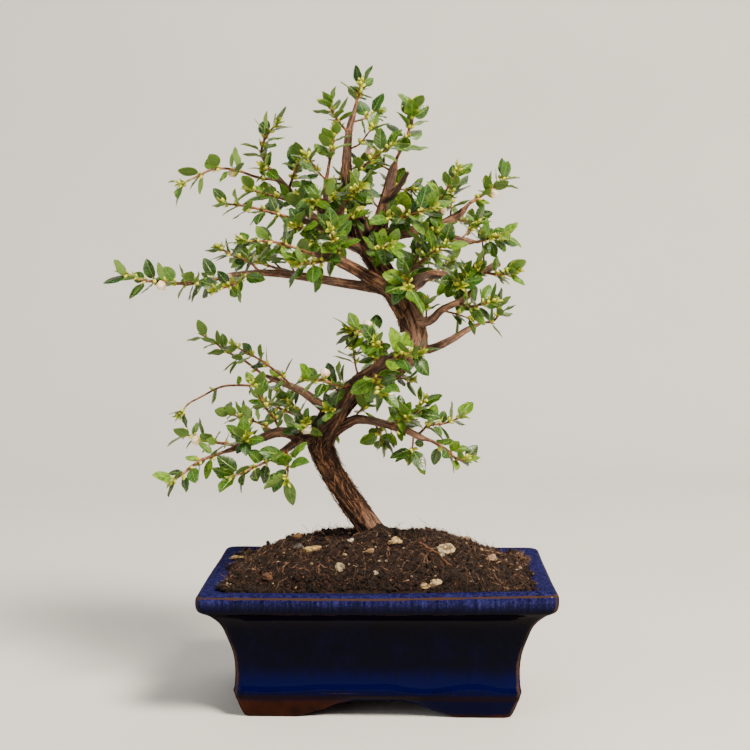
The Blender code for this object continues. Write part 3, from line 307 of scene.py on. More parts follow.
def pot_middle() -> Array:
    """Returns the middle of the pot's foot in the part's frame, in metres."""
    low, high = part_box("pot")
    return np.array(((low.x + high.x) / 2, (low.y + high.y) / 2, low.z))


POT_MIDDLE = pot_middle()


def in_frame(points: Array) -> Array:
    """Returns points given in millimetres from the pot's middle as places in the part's frame."""
    return points * MM + POT_MIDDLE


def unit(vector: Array) -> Array:
    """Returns the vector at length one."""
    return vector / np.linalg.norm(vector)


def units(vectors: Array) -> Array:
    """Returns vectors, along the last axis, at length one."""
    return vectors / np.linalg.norm(vectors, axis=-1, keepdims=True)


def across(vector: Array, direction: Array) -> Array:
    """Returns the part of a vector that is square to a direction, at length one."""
    return unit(vector - direction * np.dot(vector, direction))


def squared(vectors: Array, directions: Array) -> Array:
    """Returns the parts of vectors that are square to directions, at length one."""
    return units(vectors - directions * np.einsum("...i,...i->...", vectors, directions)[..., None])


def around(ahead: Array, side: Array, turn: float) -> Array:
    """Returns a side direction turned about the way ahead."""
    return side * math.cos(turn) + np.cross(ahead, side) * math.sin(turn)


def eased(value: Array, low: float, high: float) -> Array:
    """Returns 0 below low, 1 above high and a smooth step between them."""
    share = np.clip((value - low) / (high - low), 0.0, 1.0)
    return share * share * (3 - 2 * share)


def stacked(first: Array, second: Array, third: Array) -> Array:
    """Returns three arrays, of shapes that go together, as the three numbers of vectors."""
    return np.stack(np.broadcast_arrays(first, second, third), axis=-1)


def sampled(marks: Array, along: Array, values: Array) -> Array:
    """Returns a route's vectors at distances along it."""
    return np.stack([np.interp(marks, along, values[:, axis]) for axis in range(3)], axis=-1)


def angles_round(count: int) -> Array:
    """Returns the angles of evenly spaced points on a circle."""
    return np.arange(count) * 2 * math.pi / count


def spread(ahead: Array, side: Array, angles: Array) -> Array:
    """Returns the ways out round each point of a route: cos(angle) * side + sin(angle) * other."""
    other = np.cross(ahead, side)
    return np.cos(angles)[:, None] * side[..., None, :] + np.sin(angles)[:, None] * other[..., None, :]


def circle_points(centre: Array, ahead: Array, side: Array, radii: Array, turn: float = 0.0) -> Array:
    """Returns points round a centre, anticlockwise as seen from ahead of it, one for each radius."""
    return centre + spread(ahead, side, turn + angles_round(len(radii))) * radii[:, None]


def smooth_route(points: Sequence, values: Sequence, step: float) -> tuple[Array, Array]:
    """Follows a Catmull-Rom curve through points.

    Args:
        points: The points that the curve passes through.
        values: One value for each point, eased along the curve.
        step: The rough distance between the curve's samples.

    Returns:
        The samples, and the value at each of them.
    """
    points = np.array(points, float)
    padded = np.vstack([2 * points[0] - points[1], points, 2 * points[-1] - points[-2]])
    route, followed = [points[0]], [float(values[0])]
    for index in range(len(points) - 1):
        before, start, end, after = padded[index : index + 4]
        count = max(1, round(np.linalg.norm(end - start) / step))
        for share in np.arange(1, count + 1) / count:
            bend = (2 * start + (end - before) * share + (2 * before - 5 * start + 4 * end - after) * share**2
                    + (3 * start - before - 3 * end + after) * share**3)
            route.append(bend / 2)
            followed.append(values[index] + (values[index + 1] - values[index]) * share)
    return np.array(route), np.array(followed)


def frames_along(route: Array) -> tuple[Array, Array]:
    """Carries a frame along a route, turning it as little as it can.

    Args:
        route: The route's points.

    Returns:
        The direction at each point, and a side direction square to it.
    """
    ahead = np.gradient(route, axis=0)
    ahead /= np.linalg.norm(ahead, axis=1)[:, None]
    start = UP if abs(ahead[0][2]) < HABIT.steep else np.array((0.0, -1.0, 0.0))
    sides = [across(start, ahead[0])]
    for direction in ahead[1:]:
        sides.append(across(sides[-1], direction))
    return ahead, np.array(sides)


def lengths_along(route: Array) -> Array:
    """Returns the distance along a route to each of its points."""
    return np.concatenate([[0], np.cumsum(np.linalg.norm(np.diff(route, axis=0), axis=1))])


def shell_of(rings: Sequence[Array], tip: Optional[Array] = None) -> Shell:
    """Joins rings of one size into a closed skin that is only used to test what crosses it.

    Args:
        rings: The rings, each anticlockwise as seen from the last one.
        tip: The point that closes the far end, or None for a flat end.

    Returns:
        Its points and its faces.
    """
    points = np.vstack(rings)
    sides, foot, top = closed_faces(len(rings), len(rings[0]))
    if tip is not None:
        top = fan_faces(top[0], len(points), False)
        points = np.vstack((points, tip))
    return points, [*sides.tolist(), *foot.tolist(), *top.tolist()]


def ridged_rings(route: Array, radii: Array, relief: Array, turns: Array, sides: int) -> Array:
    """Carries rings with broad ridges of bark along a limb.

    A ring's radius is radius * (1 + relief * (cos(6 angle + turn) + 0.6 cos(2 angle + turn))).

    Args:
        route: The limb's middle line.
        radii: Its radius at each point.
        relief: How high its ridges are there, as a share of the radius.
        turns: How far they have turned there.
        sides: The number of points in a ring.

    Returns:
        The points, as rows x sides x 3.
    """
    angles = angles_round(sides)
    waves = np.cos(HABIT.ridges * angles + turns[:, None] * HABIT.twists[0])
    waves += HABIT.broad_wave * np.cos(2 * angles + turns[:, None] * HABIT.twists[1])
    shape = radii[:, None] * (1 + relief[:, None] * waves)
    return route[:, None] + spread(*frames_along(route), angles) * shape[..., None]


def limb_route(limb: Limb) -> tuple[Array, Array]:
    """Returns a limb's middle line and radii as the part's solids have them."""
    return smooth_route(limb.points, limb.radii, HABIT.trunk_step if limb is TRUNK else HABIT.limb_step)


def limb_shell(limb: Limb) -> Shell:
    """Returns a limb's skin as the part's solids have it, plain near the trunk's foot."""
    route, radii = limb_route(limb)
    relief = limb.ridge * ((limb is not TRUNK) | (route[:, 2] >= HABIT.plain_below))
    return shell_of(ridged_rings(route, radii, relief, np.arange(len(route)), limb.sides))


def carrier_of(point: Array) -> tuple[Array, bool, float, Array]:
    """Finds the limb whose middle line passes nearest to a point.

    Args:
        point: The point where a twig's route starts.

    Returns:
        The nearest place on the line, whether it is the limb's end, the radius there and
        the limb's direction.
    """
    found = []
    for limb in (TRUNK, *LIMBS):
        route, radii = limb_route(limb)
        starts, spans = route[:-1], np.diff(route, axis=0)
        shares = np.clip(np.sum((point - starts) * spans, axis=1) / np.sum(spans**2, axis=1), 0, 1)
        places = starts + spans * shares[:, None]
        gaps = np.linalg.norm(places - point, axis=1)
        near = int(np.argmin(gaps))
        at_end = near == len(starts) - 1 and shares[near] > 0.999
        radius = radii[near] + (radii[near + 1] - radii[near]) * shares[near]
        found.append((gaps[near], places[near], at_end, radius, unit(spans[near])))
    return min(found, key=lambda carrier: carrier[0])[1:]


def twig_route(sprig: Sprig) -> tuple[Array, Optional[tuple[Array, Array]], Array]:
    """Works out a twig's middle line, one millimetre apart, from its seat on the wood.

    Args:
        sprig: The twig's plan.

    Returns:
        The line, the two ends of the collar under it, or None where it goes on from a
        limb's end, and the direction in which it leaves.
    """
    points = np.array(sprig.points, float)
    place, at_end, radius, outward = carrier_of(points[0])
    top, collar = place, None
    if not at_end:
        outward = unit(points[1] - place)
        top = place + outward * (radius + HABIT.collar_length)
        collar = (place, top)
    points[0] = top + outward * SEAT_GAP
    return smooth_route(points, np.zeros(len(points)), 1.0)[0], collar, outward


class Twig:
    """A twig's plan: a three-sided line with short stations, whose sides carry leaves and buds."""

    def __init__(self, sprig: Sprig, order: int) -> None:
        """Works out the stations.

        Args:
            sprig: The twig's plan.
            order: Its number in the list, which seeds its random draws.
        """
        self.sprig = sprig
        self.chance = np.random.default_rng(SEED + order)
        self.route, self.collar, outward = twig_route(sprig)
        self.ahead, self.side = frames_along(self.route)
        self.ahead[0] = outward
        self.side[0] = across(self.side[1], outward)
        self.along = lengths_along(self.route)
        self.length = self.along[-1]
        self.start_turn = self.chance.uniform(0, CIRCLE)
        self.count = math.ceil(sprig.leaves / 2)
        last = self.length - HABIT.tip_length - HABIT.station_length
        shares = np.linspace(0, 1, self.count) ** HABIT.station_crowding
        self.stations = HABIT.first_station + (last - HABIT.first_station) * shares
        ends = np.stack((self.stations, self.stations + HABIT.station_length), axis=1).ravel()
        marks = (0.0, *ends, self.length - HABIT.tip_shorter)
        self.rings = [self.ring_at(mark, index) for index, mark in enumerate(marks)]
        self.tip = self.route[-1] + self.ahead[-1] * HABIT.tip_beyond
        middles = [ring.mean(axis=0) for ring in self.rings]
        self.aheads = [unit(middles[2 * k + 2] - middles[2 * k + 1]) for k in range(self.count)]

    def at(self, mark: float) -> tuple[Array, Array, Array]:
        """Returns the place, direction and side at a distance along the twig."""
        place, ahead, side = (sampled(mark, self.along, each) for each in (self.route, self.ahead, self.side))
        return place, unit(ahead), across(side, unit(ahead))

    def radius_at(self, mark: Union[float, Array]) -> Union[float, Array]:
        """Returns the twig's radius, which tapers evenly from its foot."""
        return self.sprig.radius * (1.0 - HABIT.twig_taper * mark / self.length)

    def ring_at(self, mark: float, index: int) -> Array:
        """Works out one ring of the twig.

        Args:
            mark: Its distance along the twig.
            index: Its number. Stations start at odd ones, and end, swollen, at even ones.

        Returns:
            Its three corners.
        """
        place, direction, edge = self.at(mark)
        radius = self.radius_at(mark)
        if index % 2 == 0 and index > 0:
            radius *= HABIT.station_swelling
        turn = self.start_turn + max(0, math.ceil(index / 2) - 1) * HABIT.station_turn
        return circle_points(place, direction, edge, np.full(HABIT.twig_sides, radius), turn)

    def face_of(self, station: int, side: int) -> tuple[Array, Array]:
        """Returns the middle of one side of a station, and the way it looks."""
        lower, upper = self.rings[2 * station + 1], self.rings[2 * station + 2]
        after = (side + 1) % HABIT.twig_sides
        loop = np.array([lower[side], lower[after], upper[after], upper[side]])
        return loop.mean(axis=0), unit(np.cross(loop[1] - loop[0], loop[3] - loop[0]))

    def shell(self) -> Shell:
        """Returns the bare twig's skin."""
        return shell_of(self.rings, self.tip)


class Crowd:
    """What stands in the way of a new leaf: the boxes of shapes, with a tree of faces for each."""

    def __init__(self) -> None:
        """Starts with nothing in the way."""
        self.boxes = np.zeros((64, 6))
        self.trees: list[tuple[BVHTree, Optional[str]]] = []

    def add(self, shell: Shell, owner: Optional[str] = None) -> None:
        """Puts a shape in the way of all but its owner's leaves.

        Args:
            shell: Its skin.
            owner: The name of the twig that bears it.
        """
        if len(self.trees) == len(self.boxes):
            self.boxes = np.vstack([self.boxes, np.zeros_like(self.boxes)])
        self.boxes[len(self.trees)] = (*shell[0].min(axis=0), *shell[0].max(axis=0))
        self.trees.append((BVHTree.FromPolygons(shell[0].tolist(), shell[1]), owner))

    def crossed_by(self, shell: Shell, ignore: Optional[str] = None) -> bool:
        """Tests a shape against all that stands in the way.

        Args:
            shell: Its skin.
            ignore: The owner whose shapes are left out.

        Returns:
            Whether it crosses anything.
        """
        boxes = self.boxes[: len(self.trees)]
        low, high = shell[0].min(axis=0), shell[0].max(axis=0)
        near = np.nonzero(((boxes[:, :3] <= high) & (boxes[:, 3:] >= low)).all(axis=1))[0]
        others = [self.trees[number][0] for number in near
                  if ignore is None or self.trees[number][1] != ignore]
        tree = BVHTree.FromPolygons(shell[0].tolist(), shell[1]) if others else None
        return any(tree.overlap(other) for other in others)


@dataclass(frozen=True)
class Leaf:
    """A leaf's foot, the way it points, the way its face looks, and its sizes."""

    root: Array
    ahead: Array
    up: Array
    length: float
    width: float
    droop: float
    age: float = 1.0

    def section(self, share: float, half_width: float, half_thickness: float) -> Array:
        """Works out a section of the blade.

        Args:
            share: How far along the leaf it lies, from 0 to 1.
            half_width: Half its width.
            half_thickness: Half its thickness.

        Returns:
            Its four corners, anticlockwise as seen from the tip.
        """
        centre = self.root + self.ahead * self.length * share - self.up * self.length * self.droop * share**2
        ahead = unit(self.ahead - self.up * 2 * self.droop * share)
        up = across(self.up, ahead)
        corners = np.array(((1, -1), (1, 1), (-1, 1), (-1, -1)))
        right = np.cross(up, ahead) * half_width
        return centre + right * corners[:, :1] + up * half_thickness * corners[:, 1:]

    def probe(self, thickness: float, margin: float) -> Shell:
        """Returns the leaf's skin without its foot, grown by a margin all round."""
        sections = HABIT.small_blade_sections if self.length < HABIT.small_blade else HABIT.blade_sections
        return shell_of([
            self.section(share, self.width / 2 * width + margin, thickness / 2 + margin)
            for share, width in (HABIT.probe_foot, *sections, (1 + margin / self.length, HABIT.probe_tip))])


def bloom_probe(centre: Array, ahead: Array, side: Array) -> Shell:
    """Returns a flower bud's skin: three square rings and its point."""
    rings = [circle_points(centre + ahead * HABIT.bloom_length * share, ahead, side,
                           np.full(4, HABIT.bloom_width / 2 * width), math.pi / 4)
             for share, width in HABIT.bloom_sections]
    return shell_of(rings, centre + ahead * (HABIT.bloom_length + HABIT.margin))


def leaf_from(twig: Twig, root: Array, ahead: Array, outward: Array, share: float, attempt: int) -> Leaf:
    """Sets one leaf so that it leans forward with its face to the sky.

    Args:
        twig: The twig, whose random draws are used.
        root: The leaf's foot.
        ahead: The twig's direction there.
        outward: The way out of the twig there.
        share: How near the twig's tip it is, from 0 to 1.
        attempt: How often it has been tried, which widens the spread.

    Returns:
        The leaf.
    """
    chance = twig.chance
    lean = HABIT.lean[0] + (HABIT.lean[1] - HABIT.lean[0]) * share
    lean += chance.uniform(-1, 1) * HABIT.lean_spread + chance.uniform(-1, 1) * HABIT.lean_try * attempt
    lean = math.radians(lean)
    swing = math.radians(chance.uniform(-1, 1) * HABIT.swing_spread * (1 + HABIT.swing_try * attempt))
    outward = around(ahead, outward, swing)
    direction = unit(ahead * math.cos(lean) + outward * math.sin(lean) + UP * HABIT.lift)
    rim_ward = root * np.array((1.0, 1.0, 0.0)) / HABIT.crown_radius
    light = np.array(HABIT.light_from) + HABIT.outward_pull * rim_ward + HABIT.tip_pull * ahead
    light = light + chance.normal(0, HABIT.scatter, 3)
    length = twig.sprig.size * chance.uniform(*HABIT.lengths) * HABIT.shorter_try**attempt
    width = length * chance.uniform(*HABIT.widths)
    return Leaf(root, direction, across(light, direction), length, width, chance.uniform(*HABIT.droops))


@dataclass
class Crown:
    """All the twigs and what they bear, grown one after another so that no leaf crosses another."""

    extra_share: float = 0.5
    extra_tries: int = 10
    extra_size: Pair = (0.7, 1.12)
    extra_thickness: float = 0.3
    extra_margin: float = 0.1
    extra_start: float = 2.0
    extra_root: float = 0.7
    grown_size: Pair = (0.35, 0.75)
    bare_limbs: tuple[str, ...] = (
        "low_left", "low_left_front", "low_left_stubs", "mid_left", "shiny_left", "long_left", "right_lowest",
        "dead_stub_right", "dead_stub_left")
    spur_spacing: float = 13.0
    spur_shift: float = 3.0
    spur_bare_share: float = 0.25
    spur_end: float = 3.0
    spur_tries: int = 6
    spur_up: float = 0.55
    spur_rimward: float = 0.5
    spur_front: float = 0.2
    spur_scatter: float = 0.75
    spur_ahead: Pair = (0.2, 0.8)
    spur_bend: Pair = (-0.1, 0.3)
    spur_length: Pair = (12.0, 19.0)
    spur_radius: float = 0.62
    spur_leaves: tuple[int, int] = (4, 7)
    spur_size: Pair = (11.0, 15.0)
    spurs: list[Twig] = field(default_factory=list)
    leaves: dict[str, list[Leaf]] = field(default_factory=dict)
    blooms: dict[str, list[tuple[Array, Array]]] = field(default_factory=dict)
    twigs: list[Twig] = field(init=False)
    crowd: Crowd = field(default_factory=Crowd)

    def __post_init__(self) -> None:
        """Plans the twigs and puts the wood in the way."""
        self.twigs = [Twig(sprig, order) for order, sprig in enumerate(SPRIGS)]
        for limb in (TRUNK, *LIMBS):
            self.crowd.add(limb_shell(limb))
        for twig in self.twigs:
            self.crowd.add(twig.shell(), twig.sprig.name)

    def grow(self) -> None:
        """Grows the leaves of the solids on every twig, and then the smaller leaves between them."""
        owns = [self.main_leaves(twig) for twig in self.twigs]
        self.grow_spurs()
        owns += [self.main_leaves(twig) for twig in self.spurs]
        for twig, own in zip(self.twigs + self.spurs, owns):
            self.small_leaves(twig, own)

    def grow_spurs(self) -> None:
        """Sets short shoots along the outer part of every living limb, pointing up and outward."""
        chance = np.random.default_rng(SEED + 200)
        for limb in LIMBS:
            if limb.name in self.bare_limbs:
                continue
            route, _ = smooth_route(limb.points, limb.radii, 1.0)
            along, (ahead, _) = lengths_along(route), frames_along(route)
            start, end = along[-1] * self.spur_bare_share, along[-1] - self.spur_end
            for mark in np.arange(start, end, self.spur_spacing):
                shift = chance.uniform(-self.spur_shift, self.spur_shift)
                near = int(np.argmin(np.abs(along - mark - shift)))
                self.try_spur(chance, route[near], ahead[near])

    def try_spur(self, chance: Chance, root: Array, ahead: Array) -> None:
        """Grows one short shoot if there is a way in which it crosses nothing.

        Args:
            chance: Where the random draws come from.
            root: Where it starts, on the limb's middle line.
            ahead: The limb's direction there.
        """
        pull = UP * self.spur_up + root * (1, 1, 0) / HABIT.crown_radius * self.spur_rimward
        for _ in range(self.spur_tries):
            aim = pull + np.array((0, -self.spur_front, 0)) + chance.normal(0, self.spur_scatter, 3)
            outward = unit(across(aim, ahead) + ahead * chance.uniform(*self.spur_ahead))
            length = chance.uniform(*self.spur_length)
            bend = UP * length * chance.uniform(*self.spur_bend)
            points = tuple(map(tuple, (root, root + outward * length * 0.5, root + outward * length + bend)))
            name = f"spur_{len(self.spurs)}"
            count, size = int(chance.integers(*self.spur_leaves)), chance.uniform(*self.spur_size)
            twig = Twig(Sprig(name, count, size, self.spur_radius, points), len(self.twigs) + len(self.spurs))
            if twig.collar and not self.crowd.crossed_by(twig.shell()):
                self.crowd.add(twig.shell(), name)
                self.spurs.append(twig)
                return

    def fits(self, twig: Twig, own: Crowd, leaf: Leaf, thickness: float, margin: float) -> bool:
        """Keeps a leaf if it crosses nothing.

        Args:
            twig: The twig that bears it.
            own: What of this twig stands in the way.
            leaf: The leaf.
            thickness: The thickness that it is tested with.
            margin: The room that it needs all round.

        Returns:
            Whether it is kept.
        """
        name = twig.sprig.name
        probe = leaf.probe(thickness, margin)
        if own.crossed_by(probe) or self.crowd.crossed_by(probe, name):
            return False
        self.leaves[name].append(leaf)
        own.add(probe)
        self.crowd.add(probe, name)
        return True

    def main_leaves(self, twig: Twig) -> Crowd:
        """Sets the leaves and flower buds that the part's solids have.

        Args:
            twig: The twig.

        Returns:
            What of this twig stands in the way of its own further leaves.
        """
        name = twig.sprig.name
        own = Crowd()
        own.add(twig.shell())
        self.leaves[name], self.blooms[name] = [], []
        for station in twig.sprig.blooms:
            root, outward = twig.face_of(station, HABIT.bloom_side)
            ahead = unit(outward + HABIT.bloom_lean * twig.aheads[station] + UP * HABIT.bloom_lift)
            self.blooms[name].append((root, ahead))
            probe = bloom_probe(root, ahead, twig.aheads[station])
            own.add(probe)
            self.crowd.add(probe, name)
        for station in reversed(range(twig.count)):
            share = station / max(1, twig.count - 1)
            for side in (0, 1):
                root, outward = twig.face_of(station, side)
                for attempt in range(HABIT.tries if len(self.leaves[name]) < twig.sprig.leaves else 0):
                    leaf = leaf_from(twig, root, twig.aheads[station], outward, share, attempt)
                    if self.fits(twig, own, leaf, HABIT.blade_thickness, HABIT.margin):
                        break
        return own

    def small_leaves(self, twig: Twig, own: Crowd) -> None:
        """Sets smaller leaves between the stations, which the part's solids leave out.

        Args:
            twig: The twig.
            own: What of this twig stands in the way.
        """
        for _ in range(round(twig.sprig.leaves * self.extra_share)):
            for attempt in range(self.extra_tries):
                mark = twig.chance.uniform(self.extra_start, twig.length)
                place, ahead, side = twig.at(mark)
                outward = around(ahead, side, twig.chance.uniform(0, CIRCLE))
                size = twig.chance.uniform(*self.extra_size)
                root = place + outward * twig.radius_at(mark) * self.extra_root
                leaf = leaf_from(twig, root, ahead, outward, mark / twig.length, attempt)
                leaf = replace(leaf, length=leaf.length * size, width=leaf.width * size,
                               age=eased(size, *self.grown_size))
                if self.fits(twig, own, leaf, self.extra_thickness, self.extra_margin):
                    break


def light_of(colour: Colour) -> Array:
    """Returns a colour given from 0 to 255, as the eye sees it, in the shaders' even scale of light."""
    share = np.array(colour) / 255.0
    return np.where(share <= 0.04045, share / 12.92, ((share + 0.055) / 1.055) ** 2.4)


def linear(colour: Colour) -> tuple[float, ...]:
    """Returns a colour in the shaders' scale, opaque."""
    return (*light_of(colour).tolist(), 1.0)


class Noise:
    """Smooth noise in space: random values on the corners of a grid of cubes, eased between them."""

    def __init__(self, seed: int, size: int = 24) -> None:
        """Draws the corner values, which repeat after size cubes."""
        self.size = size
        self.corners = np.random.default_rng(seed).uniform(-1, 1, (size, size, size))

    def at(self, points: Array, length: float) -> Array:
        """Adds up the corners round each point, each by how near it is along every axis.

        Args:
            points: Where the noise is wanted.
            length: The rough length of its bumps.

        Returns:
            The noise there, from -1 to 1.
        """
        scaled = points / length
        base = np.floor(scaled).astype(int)
        part = scaled - base
        part = part * part * (3 - 2 * part)
        total = np.zeros(points.shape[:-1])
        for corner in np.ndindex(2, 2, 2):
            index = (base + corner) % self.size
            weight = np.prod(np.where(corner, part, 1 - part), axis=-1)
            total += weight * self.corners[index[..., 0], index[..., 1], index[..., 2]]
        return total

    def layered(self, points: Array, length: float, layers: int = 3) -> Array:
        """Returns layers of noise added up, each half as long and half as strong as the last."""
        return sum(self.at(points + 7.7 * layer, length / 2**layer) / 2**layer for layer in range(layers))


NOISE = Noise(SEED)


def grid_faces(rows: int, columns: int) -> Array:
    """Joins rows of points that close into rings.

    Args:
        rows: The number of rings.
        columns: The points in each.

    Returns:
        The four-sided faces, which look outward where each ring runs anticlockwise as seen
        from the last row.
    """
    row = np.arange(rows - 1)[:, None] * columns
    column = np.arange(columns)[None, :]
    after = (column + 1) % columns
    corners = (row + column, row + after, row + columns + after, row + columns + column)
    return np.stack(corners, axis=-1).reshape(-1, 4)


def fan_faces(ring: Array, point: int, first: bool) -> Array:
    """Returns the triangles that close a ring with a point, before its first row or after its last."""
    pair = (np.roll(ring, -1), ring) if first else (ring, np.roll(ring, -1))
    return np.stack((*pair, np.full(len(ring), point)), axis=-1)


def repeated(groups: Sequence[Array], count: int, step: int) -> list[Array]:
    """Returns groups of faces once for each of a number of like shapes, whose points follow each other."""
    starts = np.arange(count)[:, None, None] * step
    return [(faces + starts).reshape(-1, faces.shape[1]) for faces in groups]


def closed_faces(rows: int, columns: int, count: int = 1) -> list[Array]:
    """Returns the faces of shapes of rings whose two ends are each closed by one flat face."""
    ring = np.arange(columns)[None]
    groups = (grid_faces(rows, columns), ring[:, ::-1], ring + (rows - 1) * columns)
    return repeated(groups, count, rows * columns)


def pole_faces(rows: int, columns: int, count: int = 1) -> list[Array]:
    """Returns the faces of shapes of rings closed by a point at each end, which come last of their points."""
    ring, top = np.arange(columns), rows * columns
    fans = np.vstack([fan_faces(ring, top, True), fan_faces(ring + top - columns, top + 1, False)])
    return repeated((grid_faces(rows, columns), fans), count, top + 2)


@dataclass
class MeshParts:
    """Surfaces gathered into one mesh, each with a material slot and with values at its points."""

    points: list[Array] = field(default_factory=list)
    faces: list[Array] = field(default_factory=list)
    slots: list[Array] = field(default_factory=list)
    values: dict[str, list[Array]] = field(default_factory=dict)
    count: int = 0

    def add(self, points: Array, faces: Sequence[Array], slot: int = 0, **values: Array) -> None:
        """Adds one surface.

        Args:
            points: Its points, in millimetres from the pot's middle.
            faces: Arrays of its faces, each a row of point numbers.
            slot: Its material slot.
            values: Three numbers for each point, or for more of them, by the attribute's name.
        """
        self.points.append(points.reshape(-1, 3))
        for group in faces:
            self.faces.append(group + self.count)
            self.slots.append(np.full(len(group), slot))
        for name, value in values.items():
            self.values.setdefault(name, []).append(np.broadcast_to(value, points.shape).reshape(-1, 3))
        self.count += len(self.points[-1])

    def mesh(self, name: str) -> Mesh:
        """Joins everything that has been added.

        Args:
            name: The mesh's name.

        Returns:
            The mesh, in the part's frame.
        """
        mesh = bpy.data.meshes.new(name)
        mesh.vertices.add(self.count)
        mesh.vertices.foreach_set("co", in_frame(np.vstack(self.points)).astype(np.float32).ravel())
        sizes = np.concatenate([np.full(len(group), group.shape[1]) for group in self.faces])
        corners = np.concatenate([group.ravel() for group in self.faces])
        mesh.loops.add(len(corners))
        mesh.loops.foreach_set("vertex_index", corners.astype(np.int32))
        mesh.polygons.add(len(sizes))
        mesh.polygons.foreach_set("loop_start", (np.cumsum(sizes) - sizes).astype(np.int32))
        mesh.polygons.foreach_set("material_index", np.concatenate(self.slots).astype(np.int32))
        mesh.update(calc_edges=True)
        for key, value in self.values.items():
            attribute = mesh.attributes.new(key, "FLOAT_VECTOR", "POINT")
            attribute.data.foreach_set("vector", np.vstack(value).astype(np.float32).ravel())
        return mesh


def placed(name: str, data: bpy.types.ID) -> Piece:
    """Returns a new object of the scene for a mesh, a light or a camera."""
    thing = bpy.data.objects.new(name, data)
    bpy.context.scene.collection.objects.link(thing)
    return thing


def make_piece(mesh: Mesh, looks: Sequence[Look], stands_for: Sequence[str] = (),
               sharp: float = 60.0) -> None:
    """Makes a mesh a piece of the object, which rides on the part's body.

    Args:
        mesh: The mesh, already in the part's frame.
        looks: Its materials, in the order of its slots.
        stands_for: The solids that it replaces.
        sharp: The angle in degrees from which an edge stays sharp.
    """
    for look in looks:
        mesh.materials.append(look)
    mesh.shade_smooth()
    mesh.set_sharp_from_angle(angle=math.radians(sharp))
    piece = placed(mesh.name, mesh)
    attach(piece, BODY)
    if stands_for:
        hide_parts(*stands_for)
    LOG.info("%s: %d faces", piece.name, len(mesh.polygons))


@dataclass(frozen=True)
class Value:
    """What a shader node puts out, with which sums can be written."""

    book: "NodeBook"
    socket: bpy.types.NodeSocket

    def __add__(self, other: "Input") -> "Value":
        """Returns the sum."""
        return self.book.math("ADD", self, other)

    def __sub__(self, other: "Input") -> "Value":
        """Returns the difference."""
        return self.book.math("SUBTRACT", self, other)

    def __mul__(self, other: "Input") -> "Value":
        """Returns the product."""
        return self.book.math("MULTIPLY", self, other)


Input = Union[float, Sequence[float], Value]


